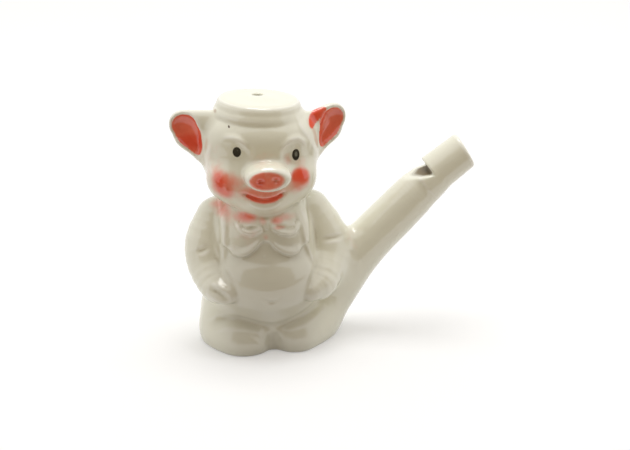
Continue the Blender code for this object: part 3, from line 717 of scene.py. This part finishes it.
# %% Reading the lattice
STEP = 0.46
MARGIN = 2.0
SLOPE_REACH = 0.05
BEND_REACH = 0.6


def read_lattice(field, low, shape):
    """The field on a lattice, read first in blocks of 8 points, then of 2 and at last point by point. Each
    round reads only where the block before was near enough to the skin to hold some of it."""
    values = None
    for block, ratio in ((8, None), (2, 4), (1, 2)):
        count = tuple(-(-size // block) for size in shape)
        if values is None:
            values = np.zeros(count)
            close = np.ones(count, bool)
        else:
            values = values.repeat(ratio, 0).repeat(ratio, 1).repeat(ratio, 2)
            values = values[:count[0], :count[1], :count[2]].copy()
            close = np.abs(values) < reach
        index = np.argwhere(close)
        values[close] = field(low + (index * block + (block - 1) / 2.0) * STEP)
        reach = STEP * (0.5 * block * math.sqrt(3.0) * 1.25 + 0.5)
        print(f"blocks of {block}: read {len(index)} of {values.size}")
    return values


def surface_net(values, low):
    """Points and four-sided faces on the zero level of a lattice of values."""
    inside = values < 0.0
    cells = tuple(size - 1 for size in values.shape)
    corner_steps = np.array([(i, j, k) for i in (0, 1) for j in (0, 1) for k in (0, 1)])
    filled = np.zeros(cells, np.int8)
    for i, j, k in corner_steps:
        filled += inside[i:i + cells[0], j:j + cells[1], k:k + cells[2]]
    active = np.argwhere((filled > 0) & (filled < 8))
    corners = [values[tuple((active + step).T)] for step in corner_steps]
    total = np.zeros((len(active), 3))
    count = np.zeros(len(active))
    for a in range(8):
        for b in range(a + 1, 8):
            if np.abs(corner_steps[a] - corner_steps[b]).sum() != 1:
                continue
            crossed = (corners[a] < 0.0) != (corners[b] < 0.0)
            share = corners[a][crossed] / (corners[a][crossed] - corners[b][crossed])
            total[crossed] += corner_steps[a] + share[:, None] * (corner_steps[b] - corner_steps[a])
            count[crossed] += 1.0
    points = low + (active + total / count[:, None]) * STEP
    number = np.full(cells, -1)
    number[tuple(active.T)] = np.arange(len(active))
    faces = []
    for axis in range(3):
        u, v = [(1, 2), (2, 0), (0, 1)][axis]
        ahead = np.eye(3, dtype=int)[axis]
        start = np.argwhere(np.diff(inside.astype(np.int8), axis=axis) != 0)
        start = start[(start[:, u] > 0) & (start[:, v] > 0)]
        start = start[(start[:, u] < cells[u]) & (start[:, v] < cells[v])]
        ring = []
        for du, dv in ((0, 0), (-1, 0), (-1, -1), (0, -1)):
            cell = start.copy()
            cell[:, u] += du
            cell[:, v] += dv
            ring.append(number[tuple(cell.T)])
        ring = np.stack(ring, axis=1)
        leaves = inside[tuple(start.T)] & ~inside[tuple((start + ahead).T)]
        ring[~leaves] = ring[~leaves][:, ::-1]
        faces.append(ring)
    return points, np.concatenate(faces)


def slope(field, p, reach):
    """The field's gradient and bend by differences over a small reach. The bend is the sum of the second
    differences: more than zero on a ridge, and less in a hollow."""
    centre = field(p)
    gradient = np.zeros_like(p)
    bend = np.zeros(len(p))
    for axis in range(3):
        step = np.eye(3)[axis] * reach
        ahead = field(p + step)
        behind = field(p - step)
        gradient[:, axis] = (ahead - behind) / (2.0 * reach)
        bend += (ahead + behind - 2.0 * centre) / (reach * reach)
    return centre, gradient, bend


def slide_onto(field, points, rounds):
    """Moves points along the gradient by the distance that is left, which brings them onto the skin."""
    distance, gradient, _ = slope(field, points, SLOPE_REACH)
    length = np.maximum(np.linalg.norm(gradient, axis=1), 0.5)
    for _ in range(rounds):
        shift = np.clip(distance / length, -0.4 * STEP, 0.4 * STEP)
        points = points - gradient / length[:, None] * shift[:, None]
        distance = field(points)
    print("left over after sliding, in mm:", round(float(np.abs(distance).mean()), 5))
    return points


def gathered_inside(points, faces, deep, size):
    """Fewer faces where nobody looks: deep points that share a wide cell become one point at their mean."""
    key = np.floor(points / size).astype(int)
    key = key @ np.array([1, 1000, 1000000]) + 10 ** 8
    label = np.where(deep, key, -1 - np.arange(len(points)))
    _, first, group = np.unique(label, return_index=True, return_inverse=True)
    amount = np.bincount(group)
    merged = np.stack([np.bincount(group, weights=points[:, axis]) / amount for axis in range(3)], axis=1)
    merged = np.where(deep[first][:, None], merged, points[first])
    return merged, group[faces]


# %% Sampling the casting
low_corner = np.array(cad_low) * 1000.0 - MARGIN
high_corner = np.array(cad_high) * 1000.0 + MARGIN
lattice_shape = tuple(np.ceil((high_corner - low_corner) / STEP).astype(int) + 1)
values = read_lattice(casting, low_corner, lattice_shape)
points, faces = surface_net(values, low_corner)
points = slide_onto(casting, points, 3)
print(len(points), "points and", len(faces), "faces on the casting")

# %% Thinning the inside
# From this x on, the window and the mouthpiece's tip let the inside show, so it stays fine there.
SEEN_FROM_X = 40.0
INNER_DEPTH = 1.6
INNER_CELL = 1.8
deep = (clay_skin(points) < -INNER_DEPTH) & (hollow(points) < 0.3) & (points[:, 0] < SEEN_FROM_X)
points, faces = gathered_inside(points, faces, deep, INNER_CELL)


def tidy_faces(faces):
    """Faces without repeated corners: squares stay, squares with one pair alike become triangles, and the
    rest have vanished."""
    alike = faces == np.roll(faces, -1, axis=1)
    crossed = (faces[:, 0] == faces[:, 2]) | (faces[:, 1] == faces[:, 3])
    squares = faces[(alike.sum(axis=1) == 0) & ~crossed]
    pinched = faces[(alike.sum(axis=1) == 1) & ~crossed]
    where = (pinched == np.roll(pinched, -1, axis=1)).argmax(axis=1)
    order = (where[:, None] + np.arange(1, 4)) % 4
    triangles = np.take_along_axis(pinched, order, axis=1)
    return squares, triangles


squares, triangles = tidy_faces(faces)
print("triangles in all:", 2 * len(squares) + len(triangles))

# %% [markdown]
# ## The mesh
# The numbers go into one mesh in whole arrays: the corners of all faces in one list, and where each face
# starts in it. The mesh is in metres, in the place that the CAD model gives.

# %% Making the mesh
MM = 0.001


def skin_mesh(name, points, squares, triangles):
    """One mesh from points in millimetres, squares and triangles."""
    mesh = bpy.data.meshes.new(name)
    corners = np.concatenate([squares.ravel(), triangles.ravel()]).astype(np.int32)
    starts = np.concatenate([np.arange(len(squares)) * 4, len(squares) * 4 + np.arange(len(triangles)) * 3])
    mesh.vertices.add(len(points))
    mesh.vertices.foreach_set("co", (points * MM).astype(np.float32).ravel())
    mesh.loops.add(len(corners))
    mesh.loops.foreach_set("vertex_index", corners)
    mesh.polygons.add(len(starts))
    mesh.polygons.foreach_set("loop_start", starts.astype(np.int32))
    mesh.update(calc_edges=True)
    mesh.validate()
    mesh.shade_smooth()
    return mesh


skin = skin_mesh("pig", points, squares, triangles)
pig = bpy.data.objects.new("glazed_pig", skin)
bpy.context.scene.collection.objects.link(pig)
print(len(skin.vertices), "points in the mesh")

# %% [markdown]
# ## Where the paint, the glaze and the painted shade lie
# The decorator sprayed coral on the cheeks, the snout, the mouth and in the ears, and some of it drifted
# over the face, the neck, the bow and the root of the tail. Glaze runs off ridges and pools in hollows, and
# here the hollows are also painted darker as shade and the ridges lighter as highlight. Both are worked out
# for every point of the mesh: the coral from soft ovals, the mouth's line and the ears' cups, the pooling and
# its painted shade from the field's bend. The redder coral is heavier spray, and painted shade in the left
# ear's lower cup. A third number, the depth under the skin, tells the bare inside, which is painted dark as
# shade.

# %% Coral, redder coral and shade, the bend for pooling and painted shade, and depth as attributes
# Each row is an oval's centre, its radii, how soft its edge is and how much it covers: first the cheeks and
# the right eye's corner, then snout and mouth, neck and bow, the tail's root, and faint spray on the face.
CORAL_OVALS = [
    ((-9.2, -13.6, 50.3), (4.2, 3.2, 2.2), 0.8, 0.55),
    ((-11.9, -12.3, 49.6), (2.1, 2.6, 2.6), 0.8, 0.85),
    ((-10.4, -13.6, 47.5), (1.7, 2.4, 1.7), 0.8, 0.7),
    ((-12.4, -12.0, 52.0), (1.8, 2.4, 1.5), 0.9, 0.35),
    ((8.7, -13.6, 51.4), (1.9, 2.6, 1.7), 0.5, 0.9),
    ((10.4, -13.0, 51.0), (2.0, 2.6, 2.1), 0.5, 0.85),
    ((8.8, -14.3, 49.2), (2.5, 2.6, 2.2), 0.7, 0.62),
    ((11.2, -12.6, 49.6), (1.2, 2.6, 1.8), 0.8, 0.5),
    ((10.0, -12.4, 54.4), (2.4, 2.6, 1.4), 0.8, 0.3),
    ((6.5, -13.6, 56.0), (1.2, 2.4, 1.5), 0.8, 0.4),
    ((-0.8, -20.8, 52.1), (5.5, 1.5, 2.75), 0.18, 0.82),
    ((-0.8, -16.2, 47.4), (7.2, 2.4, 2.0), 0.5, 0.6),
    ((-10.4, -6.0, 39.6), (3.2, 4.0, 2.0), 0.8, 0.5),
    ((-12.4, -5.0, 41.4), (2.2, 4.0, 1.4), 0.9, 0.42),
    ((-8.2, -9.0, 38.4), (2.4, 4.0, 1.9), 0.9, 0.35),
    ((-4.2, -11.6, 39.7), (3.4, 3.4, 1.6), 0.6, 0.75),
    ((4.6, -12.2, 39.2), (3.4, 3.2, 1.2), 0.8, 0.5),
    ((2.8, -13.5, 38.6), (1.5, 2.4, 0.9), 0.8, 0.6),
    ((-0.8, -14.5, 38.9), (0.9, 2.4, 0.8), 0.9, 0.45),
    ((3.4, -15.4, 37.2), (2.0, 1.5, 0.5), 0.6, 0.4),
    ((-0.2, -16.0, 34.8), (0.8, 1.5, 0.8), 0.8, 0.35),
    ((24.0, 0.0, 28.0), (4.4, 8.0, 4.0), 0.9, 0.2),
    ((-14.0, -8.0, 52.0), (5.0, 7.0, 6.5), 0.9, 0.24),
    ((-6.0, -14.0, 46.8), (7.0, 6.0, 2.6), 0.9, 0.28),
    ((9.5, -13.0, 47.6), (4.5, 5.0, 2.4), 0.9, 0.2),
    ((0.0, -16.5, 56.6), (5.5, 4.0, 2.4), 0.9, 0.24),
    ((-5.0, -15.0, 35.5), (6.0, 5.0, 4.5), 0.9, 0.16),
]


def coral_amount(p):
    """How much coral lies at each point. Each soft oval covers its share of what is still bare, the mouth
    is nearly full, the ears' cups are full inside their rims, and the right ear's fold has a patch."""
    amount = np.zeros(len(p))
    for centre, radii, soft, strength in CORAL_OVALS:
        reach = np.linalg.norm((p - rows(*centre)) / rows(*radii), axis=1)
        amount = 1.0 - (1.0 - amount) * (1.0 - strength * (1.0 - soft_step(reach, 1.0 - soft, 1.0 + soft)))
    nearest, along = across(p, MOUTH)
    lip = (1.0 - soft_step(nearest, 0.5, 1.2)) * soft_step(-p[:, 1], 11.0, 13.0)
    lip = 0.88 * lip * soft_step(along, 0.04, 0.2) * soft_step(1.0 - along, 0.04, 0.2)
    amount = np.maximum(amount, lip)
    for side in (-1, 1):
        inside_rim = soft_step(-ear_leaf(p, side), 0.2, 0.6)
        cup = 1.0 - soft_step(ear_cup(p, side), 0.2, 0.6)
        amount = np.maximum(amount, inside_rim * cup)
    nearest, _ = across(p, FOLD_PAINT)
    front = soft_step(-p[:, 1], -0.4, 0.6)
    return np.maximum(amount, front * (1.0 - soft_step(nearest, 0.7, 1.1)))


REDDER_SPRAY_AND_SHADE_OVALS = [
    # The first oval, in the left ear's lower cup, is painted shade; the others are heavier spray.
    ((-18.6, -0.5, 58.0), (4.2, 4.0, 1.9), 0.5),
    ((9.6, -13.3, 51.4), (2.4, 2.6, 1.8), 0.8),
    ((-12.4, -12.3, 49.6), (1.3, 2.6, 2.6), 0.6),
    ((-2.2, -20.8, 51.8), (1.7, 2.0, 1.3), 0.7),
    ((14.5, 0.0, 64.5), (3.4, 6.0, 3.4), 0.5),
]


def redder_spray_and_shade(p):
    """Where the coral is deeper and redder, because it was sprayed twice or ran together, and in the left
    ear's lower cup, where it is painted shade.
    """
    amount = np.zeros(len(p))
    for centre, radii, soft in REDDER_SPRAY_AND_SHADE_OVALS:
        reach = np.linalg.norm((p - rows(*centre)) / rows(*radii), axis=1)
        amount = np.maximum(amount, 1.0 - soft_step(reach, 1.0 - soft, 1.0 + soft))
    return amount


def add_attribute(mesh, name, amounts):
    """A number for each point of a mesh."""
    layer = mesh.attributes.new(name, "FLOAT", "POINT")
    layer.data.foreach_set("value", np.asarray(amounts, np.float32))


surface = np.zeros(len(skin.vertices) * 3)
skin.vertices.foreach_get("co", surface)
surface = surface.reshape(-1, 3) / MM
_, _, bend = slope(clay_skin, surface, BEND_REACH)
add_attribute(skin, "coral", coral_amount(surface))
add_attribute(skin, "redder_coral_and_shade", redder_spray_and_shade(surface))
add_attribute(skin, "bend", np.clip(bend, -2.0, 2.0))
add_attribute(skin, "depth", np.clip(-clay_skin(surface), 0.0, 6.0))
print("coral covers", round(float((coral_amount(surface) > 0.5).mean()), 3), "of the points")

# %% [markdown]
# ## The glaze
# The body is white china under a clear, slightly green-white glaze. Its whole front is painted greyer as
# shade, its hollows darker as shade where the glaze also pools, and its ridges lighter as highlight where
# the glaze also runs thin. The coral is a thin paint under it, so it lets some white through where it is
# thin. The eyes are two small black ovals, and the bare clay inside is painted dark brown as the shade in
# the hollow. One material holds it all, because it is one fired surface.

# %% Node helpers
glaze = bpy.data.materials.new("painted_glaze")
glaze.use_nodes = True
nodes = glaze.node_tree.nodes
links = glaze.node_tree.links
shader = nodes["Principled BSDF"]
place = nodes.new("ShaderNodeTexCoord").outputs["Object"]


def set_input(socket, value):
    """Gives a socket a number, a colour or another node's output."""
    if isinstance(value, bpy.types.NodeSocket):
        links.new(value, socket)
    else:
        socket.default_value = value


def maths(operation, first, second=0.0, third=0.0):
    """One step of arithmetic on numbers or outputs."""
    node = nodes.new("ShaderNodeMath")
    node.operation = operation
    for socket, value in zip(node.inputs, (first, second, third)):
        set_input(socket, value)
    return node.outputs[0]


def faded(value, start, end):
    """Nothing at start and one at end, softly in between."""
    node = nodes.new("ShaderNodeMapRange")
    node.interpolation_type = "SMOOTHSTEP"
    for name, number in (("Value", value), ("From Min", start), ("From Max", end)):
        set_input(node.inputs[name], number)
    return node.outputs[0]


def noise(scale, detail=2.0):
    """Cloudy noise at this many waves a metre."""
    node = nodes.new("ShaderNodeTexNoise")
    set_input(node.inputs["Vector"], place)
    node.inputs["Scale"].default_value = scale
    node.inputs["Detail"].default_value = detail
    return node.outputs["Fac"]


def attribute(name):
    """The number that the mesh holds under this name."""
    node = nodes.new("ShaderNodeAttribute")
    node.attribute_name = name
    return node.outputs["Fac"]


def mixed(amount, first, second):
    """The first colour turning into the second."""
    node = nodes.new("ShaderNodeMix")
    node.data_type = "RGBA"
    for socket, value in zip((node.inputs[0], node.inputs[6], node.inputs[7]), (amount, first, second)):
        set_input(socket, value)
    return node.outputs[2]


def oval(centre, radii):
    """How far a point lies from a centre in millimetres, counted in radii."""
    node = nodes.new("ShaderNodeMapping")
    node.vector_type = "TEXTURE"
    set_input(node.inputs["Vector"], place)
    node.inputs["Location"].default_value = [value * MM for value in centre]
    node.inputs["Scale"].default_value = [value * MM for value in radii]
    length = nodes.new("ShaderNodeVectorMath")
    length.operation = "LENGTH"
    links.new(node.outputs[0], length.inputs[0])
    return length.outputs["Value"]


# %% Glaze colours
WHITE_GLAZE = (0.87, 0.86, 0.735, 1.0)
# Darker, greener glaze in hollows: partly pooled glaze and partly painted shade.
POOLING_GLAZE_AND_SHADE = (0.68, 0.645, 0.51, 1.0)
# Lighter glaze on ridges: partly thin glaze and partly painted highlight.
RUNOFF_GLAZE_AND_HIGHLIGHT = (0.93, 0.92, 0.83, 1.0)
CORAL = (0.97, 0.165, 0.09, 1.0)
# Redder coral: heavier spray, and painted shade in hollows and in the left ear's lower cup.
REDDER_CORAL_AND_SHADE = (0.93, 0.07, 0.02, 1.0)
# Painted shade: the whole front of the body is greyer inside this oval.
PAINTED_FRONT_SHADE = (0.65, 0.625, 0.53, 1.0)
FRONT_SHADE_OVAL = ((0.5, -19.0, 16.0), (16.5, 15.0, 25.5))
EYE_BLACK = (0.012, 0.014, 0.012, 1.0)
EYE_GLINT = (0.35, 0.37, 0.33, 1.0)
# The bare clay inside, painted dark brown as the shade in the hollow.
BARE_INSIDE_IN_SHADE = (0.17, 0.12, 0.045, 1.0)
EYES = [((-7.4, -12.9, 58.2), (1.12, 3.0, 1.40)), ((8.7, -12.7, 56.6), (1.08, 3.0, 1.58))]
GLINTS = [((-7.2, -12.9, 58.6), (0.16, 3.0, 0.2), 0.25), ((8.75, -12.7, 56.7), (0.42, 3.0, 0.75), 0.55)]
SPECK = ((-9.1, -9.8, 64.5), (0.28, 2.0, 0.36))
SPECK_BROWN = (0.10, 0.06, 0.03, 1.0)
FLAW = ((-12.2, -2.8, 67.3), (0.5, 1.6, 0.7))
FLAW_BROWN = (0.35, 0.16, 0.07, 1.0)

bend_here = attribute("bend")
# Painted shade in hollows, where the glaze also pools, read from the bend.
pooling_and_shade = faded(bend_here, -0.3, -1.9)
# Painted highlight on ridges, where the glaze also runs thin, read from the bend.
runoff_and_highlight = faded(bend_here, 0.1, 0.8)
clouds = noise(180.0)
colour = mixed(pooling_and_shade, WHITE_GLAZE, POOLING_GLAZE_AND_SHADE)
colour = mixed(runoff_and_highlight, colour, RUNOFF_GLAZE_AND_HIGHLIGHT)
# Painted shade over the front of the body.
colour = mixed(maths("MULTIPLY", faded(oval(*FRONT_SHADE_OVAL), 1.25, 0.6), 0.8), colour, PAINTED_FRONT_SHADE)
drift = maths("MULTIPLY_ADD", maths("SUBTRACT", noise(330.0), 0.5), 0.35, attribute("coral"))
spray = maths("MULTIPLY_ADD", maths("SUBTRACT", noise(700.0, 3.0), 0.5), 0.2, drift)
spray_amount = faded(spray, 0.06, 0.98)
coral = mixed(maths("MULTIPLY", faded(clouds, 0.4, 0.8), 0.25), CORAL, REDDER_CORAL_AND_SHADE)
# The coral is also painted deeper in hollows, as shade.
coral = mixed(maths("MULTIPLY", pooling_and_shade, 0.25), coral, REDDER_CORAL_AND_SHADE)
# Painted shade in the left ear's lower cup, and heavier spray elsewhere.
coral = mixed(attribute("redder_coral_and_shade"), coral, REDDER_CORAL_AND_SHADE)
colour = mixed(maths("MULTIPLY", spray_amount, 0.97), colour, coral)
for eye, glint in zip(EYES, GLINTS):
    colour = mixed(faded(oval(*eye), 1.12, 0.92), colour, EYE_BLACK)
    centre, radii, strength = glint
    colour = mixed(maths("MULTIPLY", faded(oval(centre, radii), 1.4, 0.5), strength), colour, EYE_GLINT)
colour = mixed(faded(oval(*SPECK), 1.2, 0.6), colour, SPECK_BROWN)
colour = mixed(maths("MULTIPLY", faded(oval(*FLAW), 1.2, 0.3), 0.5), colour, FLAW_BROWN)
# Painted shade: the bare inside is dark brown.
colour = mixed(faded(attribute("depth"), 0.7, 2.0), colour, BARE_INSIDE_IN_SHADE)
links.new(colour, shader.inputs["Base Color"])

# %% Gloss and small waves of the glaze
GLAZE_IOR = 1.72
shader.inputs["IOR"].default_value = GLAZE_IOR
roughness = maths("MULTIPLY_ADD", noise(300.0), 0.05, 0.02)
roughness = maths("ADD", roughness, maths("MULTIPLY", faded(attribute("depth"), 0.7, 2.0), 0.5))
links.new(roughness, shader.inputs["Roughness"])
bump = nodes.new("ShaderNodeBump")
bump.inputs["Strength"].default_value = 0.18
bump.inputs["Distance"].default_value = 0.0004
links.new(noise(260.0, 1.0), bump.inputs["Height"])
links.new(bump.outputs[0], shader.inputs["Normal"])
skin.materials.append(glaze)

# %% What the skin stands for
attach(pig, "root")
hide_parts("pig_whistle")

# %% [markdown]
# ## The studio
# The photograph was taken on a white sheet under soft light from above. The room in front was dim, so the
# pig's front is greyer than the top of its cap, and the sheet's front edge is mirrored as a faint line across
# the belly. The sheet is grey enough not to light the feet too much, and glows for the camera up to white. Two
# brown sheets in front of it, the room's floor and wall, are white to the camera and dim to the light.

# %% Floor, room and world
def plain_sheet(name, corners):
    """A flat sheet with these corners."""
    mesh = bpy.data.meshes.new(name)
    mesh.from_pydata(corners, [], [tuple(range(len(corners)))])
    sheet = bpy.data.objects.new(name, mesh)
    bpy.context.scene.collection.objects.link(sheet)
    return sheet


def stage_material(name, colour, camera_glow=None):
    """A matt sheet that glows this much for the camera and in reflections. Without a glow it is plain white
    to the camera, and keeps its own colour for the light and the reflections."""
    material = bpy.data.materials.new(name)
    material.use_nodes = True
    tree = material.node_tree
    sheet_shader = tree.nodes["Principled BSDF"]
    sheet_shader.inputs["Base Color"].default_value = colour
    sheet_shader.inputs["Roughness"].default_value = 1.0
    sheet_shader.inputs["Specular IOR Level"].default_value = 0.0
    ray = tree.nodes.new("ShaderNodeLightPath")
    output = tree.nodes["Material Output"]
    if camera_glow is not None:
        glow = tree.nodes.new("ShaderNodeEmission")
        strength = tree.nodes.new("ShaderNodeMath")
        strength.operation = "MULTIPLY"
        strength.inputs[1].default_value = camera_glow
        seen = tree.nodes.new("ShaderNodeMath")
        seen.operation = "MAXIMUM"
        tree.links.new(ray.outputs["Is Camera Ray"], seen.inputs[0])
        tree.links.new(ray.outputs["Is Glossy Ray"], seen.inputs[1])
        tree.links.new(seen.outputs[0], strength.inputs[0])
        tree.links.new(strength.outputs[0], glow.inputs["Strength"])
        total = tree.nodes.new("ShaderNodeAddShader")
        tree.links.new(sheet_shader.outputs[0], total.inputs[0])
        tree.links.new(glow.outputs[0], total.inputs[1])
    else:
        plain_white = tree.nodes.new("ShaderNodeEmission")
        total = tree.nodes.new("ShaderNodeMixShader")
        tree.links.new(ray.outputs["Is Camera Ray"], total.inputs[0])
        tree.links.new(sheet_shader.outputs[0], total.inputs[1])
        tree.links.new(plain_white.outputs[0], total.inputs[2])
    tree.links.new(total.outputs[0], output.inputs["Surface"])
    return material


floor = plain_sheet("floor", [(-3.0, -3.0, 0.0), (3.0, -3.0, 0.0), (3.0, 3.0, 0.0), (-3.0, 3.0, 0.0)])
SHEET_GREY = (0.68, 0.68, 0.69, 1.0)
SHEET_GLOW = 0.31
floor.data.materials.append(stage_material("white_sheet", SHEET_GREY, SHEET_GLOW))
SHEET_EDGE = -0.085
ROOM_BACK = -0.9
ROOM_TOP = 1.1
ROOM_RISE = 0.0001
ROOM_BROWN = (0.34, 0.27, 0.17, 1.0)
dim_room = stage_material("dim_room", ROOM_BROWN)
room_floor = plain_sheet("dark_room_floor", [(-1.4, ROOM_BACK, ROOM_RISE), (1.4, ROOM_BACK, ROOM_RISE),
                                             (1.4, SHEET_EDGE, ROOM_RISE), (-1.4, SHEET_EDGE, ROOM_RISE)])
room_wall = plain_sheet("dark_room_wall", [(-1.4, ROOM_BACK, ROOM_RISE), (1.4, ROOM_BACK, ROOM_RISE),
                                           (1.4, ROOM_BACK, ROOM_TOP), (-1.4, ROOM_BACK, ROOM_TOP)])
for sheet in (room_floor, room_wall):
    sheet.data.materials.append(dim_room)

world = bpy.data.worlds.new("studio")
bpy.context.scene.world = world
world.use_nodes = True
air = world.node_tree
background = air.nodes["Background"]
background.inputs["Color"].default_value = (1.0, 0.98, 0.93, 1.0)
WORLD_LEVEL = 0.9
background.inputs["Strength"].default_value = WORLD_LEVEL
white = air.nodes.new("ShaderNodeBackground")
white.inputs["Color"].default_value = (1.0, 1.0, 1.0, 1.0)
ray_kinds = air.nodes.new("ShaderNodeLightPath")
choice = air.nodes.new("ShaderNodeMixShader")
seen = ray_kinds.outputs["Is Camera Ray"]
for kind in ("Is Glossy Ray", "Is Transmission Ray"):
    either = air.nodes.new("ShaderNodeMath")
    either.operation = "MAXIMUM"
    air.links.new(seen, either.inputs[0])
    air.links.new(ray_kinds.outputs[kind], either.inputs[1])
    seen = either.outputs[0]
air.links.new(seen, choice.inputs[0])
air.links.new(background.outputs[0], choice.inputs[1])
air.links.new(white.outputs[0], choice.inputs[2])
air.links.new(choice.outputs[0], air.nodes["World Output"].inputs["Surface"])

# %% Lamp
LAMP_AT = (0.05, 0.10, 0.72)
LAMP_SIZE = 0.34
LAMP_POWER = 1.9


def soft_lamp(name, location, size, power):
    """A square white lamp that faces the pig's middle."""
    data = bpy.data.lights.new(name, "AREA")
    data.shape = "SQUARE"
    data.size = size
    data.energy = power
    lamp = bpy.data.objects.new(name, data)
    bpy.context.scene.collection.objects.link(lamp)
    lamp.location = location
    lamp.rotation_euler = (Vector(location) - Vector((0.01, 0.0, 0.03))).to_track_quat("Z", "Y").to_euler()


soft_lamp("top_panel", LAMP_AT, LAMP_SIZE, LAMP_POWER)
bpy.context.scene.view_settings.view_transform = "Standard"
